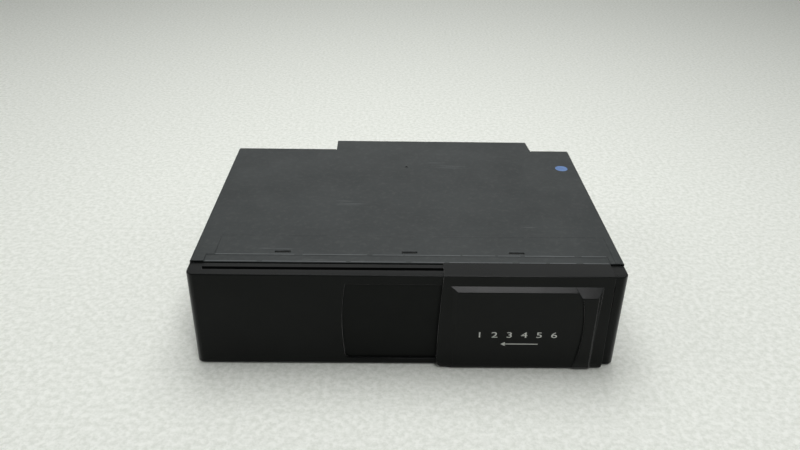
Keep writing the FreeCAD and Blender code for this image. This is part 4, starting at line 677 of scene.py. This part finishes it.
TRAY_ABS = MouldedPlastic("charcoal_tray_abs", "#3A3C3F", "#414346", roughness=0.4, grain=0.6 * MM,
                          relief=0.005 * MM, level=0.4)
LEVER_ACETAL = MouldedPlastic("ivory_acetal", "#D9D5C6", "#E2DED0", roughness=0.38, grain=0.6 * MM,
                              relief=0.004 * MM)
SOCKET_PBT = MouldedPlastic("black_socket_pbt", "#1A1B1C", "#202122", roughness=0.36, grain=0.5 * MM,
                            relief=0.006 * MM, level=0.4)
CHIP_EPOXY = MouldedPlastic("matt_chip_epoxy", "#1E1F20", "#262728", roughness=0.62, grain=0.25 * MM,
                            relief=0.008 * MM, level=0.35)
ZINC_SHEET = ZincSteel("zinc_plated_sheet", "#A1A5A6", "#AAAEAF", roughness=0.34, grain=0.6 * MM,
                       relief=0.004 * MM, metallic=1.0)
SCREW_STEEL = TurnedMetal("black_zinc_screw_steel", "#3E4042", "#4A4C4E", roughness=0.36, grain=0.15 * MM,
                          relief=0.004 * MM, metallic=1.0)
PIN_STEEL = TurnedMetal("ground_bright_steel", "#C3C6C8", "#CDD0D2", roughness=0.2, grain=0.2 * MM,
                        relief=0.002 * MM, metallic=1.0)
MOTOR_CAN = TurnedMetal("drawn_motor_can_steel", "#A9ACAE", "#B5B8BA", roughness=0.3, grain=0.35 * MM,
                        relief=0.003 * MM, metallic=1.0)
CUT_BRASS = TurnedMetal("cut_brass", "#C9A65A", "#D2B068", roughness=0.26, grain=0.2 * MM, relief=0.003 * MM,
                        metallic=1.0)
BELT_RUBBER = MouldedPlastic("matt_belt_rubber", "#1C1C1B", "#232322", roughness=0.72, grain=0.35 * MM,
                             relief=0.012 * MM, level=0.3)
LENS_GLASS = CoatedLens("coated_lens_glass", "#1E2C4C", "#24345A", roughness=0.08, grain=0.5 * MM, relief=0.0,
                        coat=1.0)
GREEN_LAMINATE = CircuitLaminate("green_lacquered_laminate", "#2E6B49", "#33744F", roughness=0.34,
                                 grain=0.6 * MM, relief=0.01 * MM, coat=0.3)
TIN_CONTACT = TurnedMetal("tinned_contact_bronze", "#C8C6BE", "#D2D0C8", roughness=0.24, grain=0.2 * MM,
                          relief=0.002 * MM, metallic=1.0)
# Pad-printed ink: a thin matt film that is a shade uneven.
PALE_INK = MouldedPlastic("pale_grey_pad_print", "#C3C4BF", "#CDCEC9", roughness=0.55, grain=0.3 * MM,
                          relief=0.004 * MM, cloud=0.004)
# Marker paint, dabbed on by hand at the last inspection.
BLUE_PAINT = MouldedPlastic("blue_marker_paint", "#4C6FA4", "#5E80B2", roughness=0.4, grain=0.8 * MM,
                            relief=0.02 * MM, cloud=0.004)
CAPACITOR_SLEEVE = MouldedPlastic("dark_blue_shrink_sleeve", "#1D2440", "#232B4B", roughness=0.3,
                                  grain=0.6 * MM, relief=0.004 * MM)

SLOT_FINISHES: dict[Slot, Finish] = {
    Slot.COVER: SATIN_BLACK_PAINT, Slot.CHASSIS: ZINC_SHEET, Slot.BEZEL: BLACK_ABS, Slot.DOOR: DOOR_ABS,
    Slot.SHUTTER: SHUTTER_ABS, Slot.BUTTON: BUTTON_ABS, Slot.DIAL: DIAL_NYLON, Slot.MAGAZINE: MAGAZINE_ABS,
    Slot.TRAY: TRAY_ABS, Slot.LEVER: LEVER_ACETAL, Slot.SCREW: SCREW_STEEL, Slot.PIN: PIN_STEEL,
    Slot.MOTOR: MOTOR_CAN, Slot.GEAR: CUT_BRASS, Slot.BELT: BELT_RUBBER, Slot.LENS: LENS_GLASS,
    Slot.LAMINATE: GREEN_LAMINATE, Slot.CHIP: CHIP_EPOXY, Slot.SOCKET: SOCKET_PBT, Slot.CONTACT: TIN_CONTACT,
}


# ---------------------------------------------------------------- sub-assemblies
@dataclass
class SubAssembly:
    """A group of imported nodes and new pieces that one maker's department would build."""

    title: str
    nodes: tuple[str, ...]
    made: list[str] = field(default_factory=list)

    def slot_of(self, node: str) -> Slot:
        """Looks up the material slot that the record gives a node."""
        return next(Slot(part["material_slot"]) for part in frame["record"]["subparts"]
                    if part["node"] == node)

    def dress(self) -> None:
        """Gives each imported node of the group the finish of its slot."""
        for node in self.nodes:
            piece = frame["nodes"][node]
            piece.data.materials.clear()
            piece.data.materials.append(SLOT_FINISHES[self.slot_of(node)].material())

    def keep(self, piece: Piece, body: str, slot: Slot, finish: Finish) -> Piece:
        """Dresses a new piece, lets it ride on a body and notes it.

        Args:
            piece: the finished piece, in place.
            body: the body that it moves with.
            slot: the material slot that it belongs to; not used.
            finish: its finish.

        Returns:
            The same piece.
        """
        piece.data.materials.clear()
        piece.data.materials.append(finish.material())
        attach(piece, body)
        self.made.append(piece.name)
        return piece

    def soften(self, node: str, body: str, width: float) -> Piece:
        """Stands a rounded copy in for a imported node, with the node's own finish."""
        slot = self.slot_of(node)
        return self.keep(soft_copy(node, width), body, slot, SLOT_FINISHES[slot])

    def build(self) -> None:
        """Builds the group's new pieces."""

    def make(self) -> None:
        """Builds and dresses the group, and reports it."""
        self.build()
        self.dress()
        LOG.info("%s: %d packed nodes, %d new pieces (%s)", self.title, len(self.nodes), len(self.made),
                 ", ".join(self.made))


@dataclass
class CaseShell(SubAssembly):
    """Steel cover and chassis, their screws and the two angle dials."""

    dot_radius: float = 4.5 * MM
    dot_from_right: float = 11.3 * MM
    dot_from_rear: float = 48.6 * MM
    dot_profile: tuple[tuple[float, float], ...] = ((0.94, 0.0), (1.0, 0.4), (0.9, 1.0))  # shares
    dot_sides: int = 40
    dot_waver: float = 0.12 * MM
    dot_seed: int = 3
    paint_thickness: float = 0.03 * MM
    sheet_edge: float = 0.25 * MM
    dial_edge: float = 0.15 * MM
    scale_angles: tuple[int, ...] = (0, 45, 90)
    tick_length: float = 2.4 * MM
    tick_width: float = 0.5 * MM
    tick_gap: float = 1.4 * MM
    numeral_height: float = 2.6 * MM
    # Pale strips on the cover's front bend and pressed step: rubbed paint and painted highlight in one.
    rub_rows: tuple[float, ...] = (0.7 * MM, 7.9 * MM)
    rub_width: float = 0.5 * MM
    rub_inset: float = 9.0 * MM
    rub_lengths: tuple[float, float] = (12.0 * MM, 52.0 * MM)
    rub_gaps: tuple[float, float] = (0.8 * MM, 5.0 * MM)
    rub_seed: int = 11

    def build(self) -> None:
        """Rounds the sheet's edges, lays rubbed paint with a painted highlight along two of them, dabs the
        dot and prints the dials' scales.
        """
        self.rub_edges(self.soften("top_cover", "case", self.sheet_edge))
        self.paint_dot()
        for side, body, node in ((-1, "dial_left", "angle_dial_left"), (1, "dial_right", "angle_dial_right")):
            self.soften(node, body, self.dial_edge)
            self.print_scale(side, node)

    def rub_edges(self, cover: Piece) -> None:
        """Lays broken lines of rubbed paint along the two pressed edges at the cover's front; their pale grey
        is partly a painted highlight on those edges.

        Args:
            cover: the rounded cover that the lines lie on.
        """
        low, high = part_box("top_cover")
        bpy.context.view_layer.update()
        chance = random.Random(self.rub_seed)
        lines = []
        for row in self.rub_rows:
            start, end = low.x + self.rub_inset, high.x - self.rub_inset
            while start < end:
                length = min(chance.uniform(*self.rub_lengths), end - start)
                seen, point, *_ = cover.ray_cast(Vector((start + length / 2, low.y + row, high.z + MM)),
                                                 Vector((0, 0, -1)))
                if seen:
                    lines.append(block(Vector((start, low.y + row - self.rub_width / 2, point.z)),
                                       Vector((start + length, low.y + row + self.rub_width / 2,
                                               point.z + self.paint_thickness))))
                start += length + chance.uniform(*self.rub_gaps)
        self.keep(joined(lines, "worn_edges_painted_highlight"), "case", Slot.COVER, WORN_PAINT_AND_HIGHLIGHT)

    def paint_dot(self) -> None:
        """Dabs the blue inspection dot on the cover's roof."""
        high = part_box("top_cover")[1]
        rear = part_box("interface_housing")[1].y
        centre = Vector((high.x - self.dot_from_right, rear - self.dot_from_rear, high.z))
        dot = turned([(self.dot_radius * out, self.paint_thickness * up) for out, up in self.dot_profile],
                     centre, self.dot_sides)
        pick(dot)
        bpy.ops.object.mode_set(mode="EDIT")
        bpy.ops.mesh.select_all(action="SELECT")
        bpy.ops.transform.vertex_random(offset=self.dot_waver, seed=self.dot_seed)
        bpy.ops.object.mode_set(mode="OBJECT")
        for vert in dot.data.vertices:
            vert.co.z = min(max(vert.co.z, high.z), high.z + self.paint_thickness)
        self.keep(settle(dot, "inspection_dot"), "case", Slot.COVER, BLUE_PAINT)

    def print_scale(self, side: int, node: str) -> None:
        """Prints three ticks and their angles round one dial."""
        low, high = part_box(node)
        middle = (low + high) / 2
        face = high.x + self.paint_thickness if side > 0 else low.x
        centre = Matrix.Translation((face, middle.y, middle.z))
        radius = (high.z - low.z) / 2 + self.tick_gap
        tick = block(Vector((-self.paint_thickness, radius, -self.tick_width / 2)),
                     Vector((0, radius + self.tick_length, self.tick_width / 2)))
        moves = [centre @ Matrix.Rotation(math.radians(angle), 4, "X") for angle in self.scale_angles]
        name = "dial_scale_right" if side > 0 else "dial_scale_left"
        self.keep(copies(tick, moves, name), "case", Slot.COVER, PALE_INK)
        reach = radius + self.tick_length + self.numeral_height
        turn = Matrix.Rotation(math.radians(90 * side), 4, "Z")
        numerals = []
        for angle in self.scale_angles:
            piece = lettering(str(angle), self.numeral_height, self.paint_thickness)
            spot = Vector((0, reach * math.cos(math.radians(angle)), reach * math.sin(math.radians(angle))))
            piece.data.transform(centre @ Matrix.Translation(spot) @ turn)
            numerals.append(piece)
        self.keep(joined(numerals, name + "_numerals"), "case", Slot.COVER, PALE_INK)


@dataclass
class FrontPanel(SubAssembly):
    """Moulded bezel with its sliding door and the shutter behind it, and the eject button."""

    moulding_edge: float = 0.28 * MM
    lip_edge: float = 0.45 * MM
    button_edge: float = 0.3 * MM
    ink: float = 0.02 * MM
    ridge_above_panel: float = 2.2 * MM
    row_right: float = 53.05 * MM
    row_height: float = 4.1 * MM
    row_z: float = 26.6 * MM
    row_width: float = 46.5 * MM
    arrow_right: float = 51.0 * MM
    arrow_z: float = 19.9 * MM
    arrow_length: float = 20.5 * MM
    arrow_line: float = 0.55 * MM
    arrow_head: float = 1.7 * MM
    cap_depth: float = 0.05 * MM
    sign_radius: float = 1.5 * MM
    bar_half: float = 1.4 * MM
    bar_top: float = 1.2 * MM
    bar_bottom: float = 1.7 * MM

    def build(self) -> None:
        """Rounds the mouldings' edges and prints the door."""
        self.soften("bezel", "case", self.lip_edge)
        self.soften("sliding_door", "door", self.moulding_edge)
        self.soften("door_shutter", "shutter", self.moulding_edge)
        self.soften("eject_button", "button", self.button_edge)
        self.print_door()
        self.print_button()

    def print_door(self) -> None:
        """Prints the six disc numbers and the arrow that shows which way the door slides."""
        low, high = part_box("sliding_door")
        face = low.y + self.ridge_above_panel
        centre = high.x - self.row_right
        numbers = lettering("1  2  3  4  5  6", self.row_height, self.ink, self.row_width)
        numbers.data.transform(Matrix.Translation((centre, face, self.row_z)))
        self.keep(settle(numbers, "door_numbers"), "door", Slot.DOOR, PALE_INK)
        half = self.arrow_length / 2
        centre = high.x - self.arrow_right
        line = block(Vector((centre - half, face - self.ink / 2, self.arrow_z - self.arrow_line / 2)),
                     Vector((centre + half, face + self.ink / 2, self.arrow_z + self.arrow_line / 2)))
        head = triangle(self.arrow_head, self.ink, (centre - half, face, self.arrow_z), 90)
        self.keep(joined([line, head], "door_arrow"), "door", Slot.DOOR, PALE_INK)

    def print_button(self) -> None:
        """Prints the eject sign, a triangle over a bar, on the button."""
        corners = [vert.co for vert in frame["nodes"]["eject_button"].data.vertices]
        front = min(c.y for c in corners)
        low, high = extent([c for c in corners if c.y < front + self.cap_depth])
        middle = (low + high) / 2
        bar = block(Vector((middle.x - self.bar_half, front - self.ink, middle.z - self.bar_bottom)),
                    Vector((middle.x + self.bar_half, front, middle.z - self.bar_top)))
        sign = triangle(self.sign_radius, self.ink, (middle.x, front - self.ink / 2, middle.z), 0)
        self.keep(joined([bar, sign], "eject_sign"), "button", Slot.BUTTON, PALE_INK)


@dataclass
class RearInterface(SubAssembly):
    """Sheet housing over the sockets for supply, data and the optical lead."""

    housing_edge: float = 0.2 * MM
    socket_edge: float = 0.25 * MM

    def build(self) -> None:
        """Rounds the housing's and the sockets' edges."""
        self.soften("interface_housing", "case", self.housing_edge)
        self.soften("power_socket", "case", self.socket_edge)
        self.soften("optical_socket", "case", self.socket_edge)


@dataclass
class DiscMagazine(SubAssembly):
    """Removable magazine with six disc trays."""

    magazine_edge: float = 0.2 * MM

    def build(self) -> None:
        """Rounds the magazine's edges."""
        self.soften("magazine_case", "magazine", self.magazine_edge)


@dataclass
class LiftDrive(SubAssembly):
    """Frame, cam slide and gears that raise the player to a tray."""


@dataclass
class DiscPlayer(SubAssembly):
    """Sprung player plate with its spindle, pick-up and clamp arm."""


@dataclass
class DiscTransfer(SubAssembly):
    """Belt and hook that draw a tray out of the magazine."""


@dataclass
class ControlBoard(SubAssembly):
    """Main board with its chips and capacitors."""

    lead_pitch: float = 1.27 * MM
    lead_width: float = 0.45 * MM
    lead_reach: float = 1.1 * MM
    lead_rise: float = 0.9 * MM
    lead_sheet: float = 0.15 * MM
    lead_root: float = 0.1 * MM
    lead_bend: float = 0.2 * MM
    flat_share: float = 0.4
    cap_share: float = 0.86
    cap_sides: int = 24
    rim_share: float = 0.8
    rim_heights: tuple[float, float] = (0.12 * MM, 0.2 * MM)
    score_share: float = 0.6
    score_width: float = 0.35 * MM
    score_top: float = 0.26 * MM

    def build(self) -> None:
        """Puts leads along the chips and a scored cap on each capacitor."""
        self.fit_leads()
        self.cap_capacitors()

    def fit_leads(self) -> None:
        """Bends one lead and copies it along the long sides of every chip."""
        board_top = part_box("main_board")[1].z
        drop = self.lead_rise - self.lead_sheet
        flat = self.lead_reach * self.flat_share
        lead = block(Vector((-self.lead_width / 2, -self.lead_root, drop)),
                     Vector((self.lead_width / 2, flat, self.lead_rise)))
        pick(lead)
        bpy.ops.object.mode_set(mode="EDIT")
        shape = bmesh.from_edit_mesh(lead.data)
        for face in shape.faces:
            face.select = round(face.normal.y) == 1
        bmesh.update_edit_mesh(lead.data)
        bpy.ops.mesh.extrude_region_move(TRANSFORM_OT_translate={"value": (0, self.lead_bend, -drop)})
        bpy.ops.mesh.extrude_region_move(TRANSFORM_OT_translate={"value": (0, flat, 0)})
        bpy.ops.object.mode_set(mode="OBJECT")
        moves = []
        for low, high in solids_of("board_chips"):
            along_x = (high.x - low.x) >= (high.y - low.y)
            length = (high.x - low.x) if along_x else (high.y - low.y)
            count = int((length - self.lead_pitch) / self.lead_pitch)
            middle = (low + high) / 2
            half = ((high.y - low.y) if along_x else (high.x - low.x)) / 2
            for side in (0, 1):
                turn = Matrix.Rotation(math.radians(180 * side + (0 if along_x else 90)), 4, "Z")
                for number in range(count):
                    shift = (number - (count - 1) / 2) * self.lead_pitch
                    moves.append(Matrix.Translation((middle.x, middle.y, board_top)) @ turn
                                 @ Matrix.Translation((shift, half, 0)))
        self.keep(copies(lead, moves, "chip_leads"), "case", Slot.CONTACT, TIN_CONTACT)

    def cap_capacitors(self) -> None:
        """Turns one scored aluminium cap and copies it onto every capacitor."""
        cans = solids_of("board_capacitors")
        low, high = cans[0]
        radius = (high.x - low.x) / 2
        edge, top = self.rim_heights
        cap = turned([(radius * self.cap_share, 0.0), (radius * self.cap_share, edge),
                      (radius * self.rim_share, top)], Vector((0, 0, 0)), self.cap_sides)
        half = radius * self.score_share
        score = block(Vector((-half, -self.score_width / 2, top)),
                      Vector((half, self.score_width / 2, self.score_top)))
        cross = score.copy()
        cross.data = score.data.copy()
        bpy.context.scene.collection.objects.link(cross)
        cross.data.transform(Matrix.Rotation(math.radians(90), 4, "Z"))
        scored = joined([cap, score, cross], "scored_cap")
        moves = [Matrix.Translation(((a.x + b.x) / 2, (a.y + b.y) / 2, b.z)) for a, b in cans]
        self.keep(copies(scored, moves, "capacitor_caps"), "case", Slot.MOTOR, MOTOR_CAN)

    def dress(self) -> None:
        """Sleeves the capacitors, apart from the plain finishes."""
        super().dress()
        cans = frame["nodes"]["board_capacitors"]
        cans.data.materials.clear()
        cans.data.materials.append(CAPACITOR_SLEEVE.material())


# ---------------------------------------------------------------- studio
@dataclass(frozen=True)
class Lamp:
    """A square soft lamp, with its power in watts, that looks at one point."""

    name: str
    place: Point
    aim: Point
    size: float
    power: float

    def hang(self) -> None:
        """Hangs the lamp in its place."""
        light = bpy.data.lights.new(self.name, "AREA")
        light.shape = "SQUARE"
        light.size = self.size
        light.energy = self.power
        lamp = bpy.data.objects.new(self.name, light)
        bpy.context.scene.collection.objects.link(lamp)
        lamp.location = self.place
        lamp.rotation_euler = (Vector(self.aim) - Vector(self.place)).to_track_quat("-Z", "Y").to_euler()


@dataclass
class Studio:
    """Pale floor, broad soft lamps all round, a faint even room light and the camera."""

    eye: Point = (-0.01137, -0.45031, 0.29814)
    turn: float = -0.0172
    tilt: float = 0.5108
    roll: float = 0.0174
    lens: float = 33.54
    floor_tone: str = "#F4F6F0"
    floor_second: str = "#E0E3DB"
    floor_half: float = 9.0
    floor_grain: float = 3.5 * MM
    room_tone: str = "#DEE1DF"
    room_strength: float = 0.2
    lamps: tuple[Lamp, ...] = (Lamp("front_softbox", (0.22, -0.78, 1.18), (0, 0, 0), 0.4, 5.0),
                               Lamp("top_softbox", (0.0, 0.2, 0.9), (0, 0.05, 0), 0.6, 4.8),
                               Lamp("rear_softbox", (0.05, 1.35, 0.95), (0, 0.1, 0), 1.45, 4.0),
                               Lamp("left_softbox", (-1.2, 0.0, 0.8), (0, 0, 0), 0.8, 2.4),
                               Lamp("right_softbox", (1.2, 0.0, 0.8), (0, 0, 0), 0.8, 1.2))

    def build(self) -> None:
        """Builds the floor, the light and the camera."""
        self.lay_floor()
        for lamp in self.lamps:
            lamp.hang()
        self.light_room()
        self.set_camera()
        LOG.info("studio: floor, lamps and camera")

    def lay_floor(self) -> None:
        """Lays the pale floor that keeps the object's shadow."""
        clear_selection()
        bpy.ops.mesh.primitive_plane_add(size=2 * self.floor_half)
        floor = settle(bpy.context.active_object, "studio_floor")
        made = bpy.data.materials.new("pale_matt_laminate")
        made.use_nodes = True
        tree = made.node_tree
        tree.nodes.clear()
        place = add(tree, "ShaderNodeTexCoord").outputs["Object"]
        tone = ramp(tree, noise(tree, place, self.floor_grain, detail=4.0, roughness=0.7),
                    ((0.38, linear(self.floor_second)), (0.62, linear(self.floor_tone))))
        shader = add(tree, "ShaderNodeBsdfPrincipled", {"Base Color": tone, "Roughness": 0.7,
                                                        "Specular IOR Level": 0.2})
        add(tree, "ShaderNodeOutputMaterial", {"Surface": shader.outputs["BSDF"]})
        floor.data.materials.append(made)

    def light_room(self) -> None:
        """Fills the room with faint even light."""
        world = bpy.data.worlds.new("pale_room")
        bpy.context.scene.world = world
        world.use_nodes = True
        tree = world.node_tree
        tree.nodes.clear()
        room = add(tree, "ShaderNodeBackground", {"Color": linear(self.room_tone),
                                                  "Strength": self.room_strength})
        add(tree, "ShaderNodeOutputWorld", {"Surface": room.outputs["Background"]})

    def set_camera(self) -> None:
        """Sets the camera at its fitted place, turn and lens."""
        lens = bpy.data.cameras.new("camera")
        lens.lens = self.lens
        lens.sensor_width = 36.0
        lens.clip_start = 0.01
        lens.clip_end = 50.0
        camera = bpy.data.objects.new("camera", lens)
        bpy.context.scene.collection.objects.link(camera)
        camera.location = self.eye
        camera.rotation_euler = (Matrix.Rotation(self.turn, 4, "Z")
                                 @ Matrix.Rotation(math.pi / 2 - self.tilt, 4, "X")
                                 @ Matrix.Rotation(self.roll, 4, "Z")).to_euler()
        bpy.context.scene.camera = camera


def report_solids() -> None:
    """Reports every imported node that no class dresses."""
    left = [name for name, piece in frame["nodes"].items() if not piece.data.materials]
    if left:
        LOG.warning("undressed nodes: %s", left)


def main() -> None:
    """Builds the studio and every sub-assembly, in order."""
    logging.basicConfig(level=logging.INFO, format="%(message)s")
    bpy.context.scene.view_settings.view_transform = "Standard"
    for piece in frame["nodes"].values():
        piece.data.materials.clear()
    Studio().build()
    CaseShell("case", ("top_cover", "bottom_chassis", "chassis_screws", "case_screws", "bracket_nuts",
                       "angle_dial_left", "angle_dial_right")).make()
    FrontPanel("front", ("bezel", "sliding_door", "door_shutter", "eject_button", "magazine_mouth")).make()
    RearInterface("rear sockets", ("interface_housing", "power_socket", "power_contacts", "optical_socket",
                                   "interface_board")).make()
    DiscMagazine("magazine", ("magazine_case", "disc_tray_1", "disc_tray_2", "disc_tray_3", "disc_tray_4",
                              "disc_tray_5", "disc_tray_6", "latch_lever", "ejector_arm")).make()
    LiftDrive("lift", ("mechanism_frame", "magazine_guide", "frame_pins", "cam_slide", "lift_pinion",
                       "lift_wheel", "lift_motor_gear", "lift_motor", "motor_bracket",
                       "lift_platform")).make()
    DiscPlayer("player", ("damper_bushes", "player_chassis", "spindle_motor", "turntable", "pickup_sled",
                          "objective_lens", "guide_rod", "lead_screw", "sled_pinion", "sled_motor",
                          "clamp_arm", "clamp_puck", "clamp_pins", "clamp_spring")).make()
    DiscTransfer("transfer", ("belt_pulley_left", "belt_pulley_right", "pulley_pins", "transfer_belt",
                              "transfer_motor", "transfer_hook")).make()
    ControlBoard("control board", ("main_board", "board_spacers", "board_chips", "board_capacitors")).make()
    report_solids()


if __name__ == "__main__":
    main()
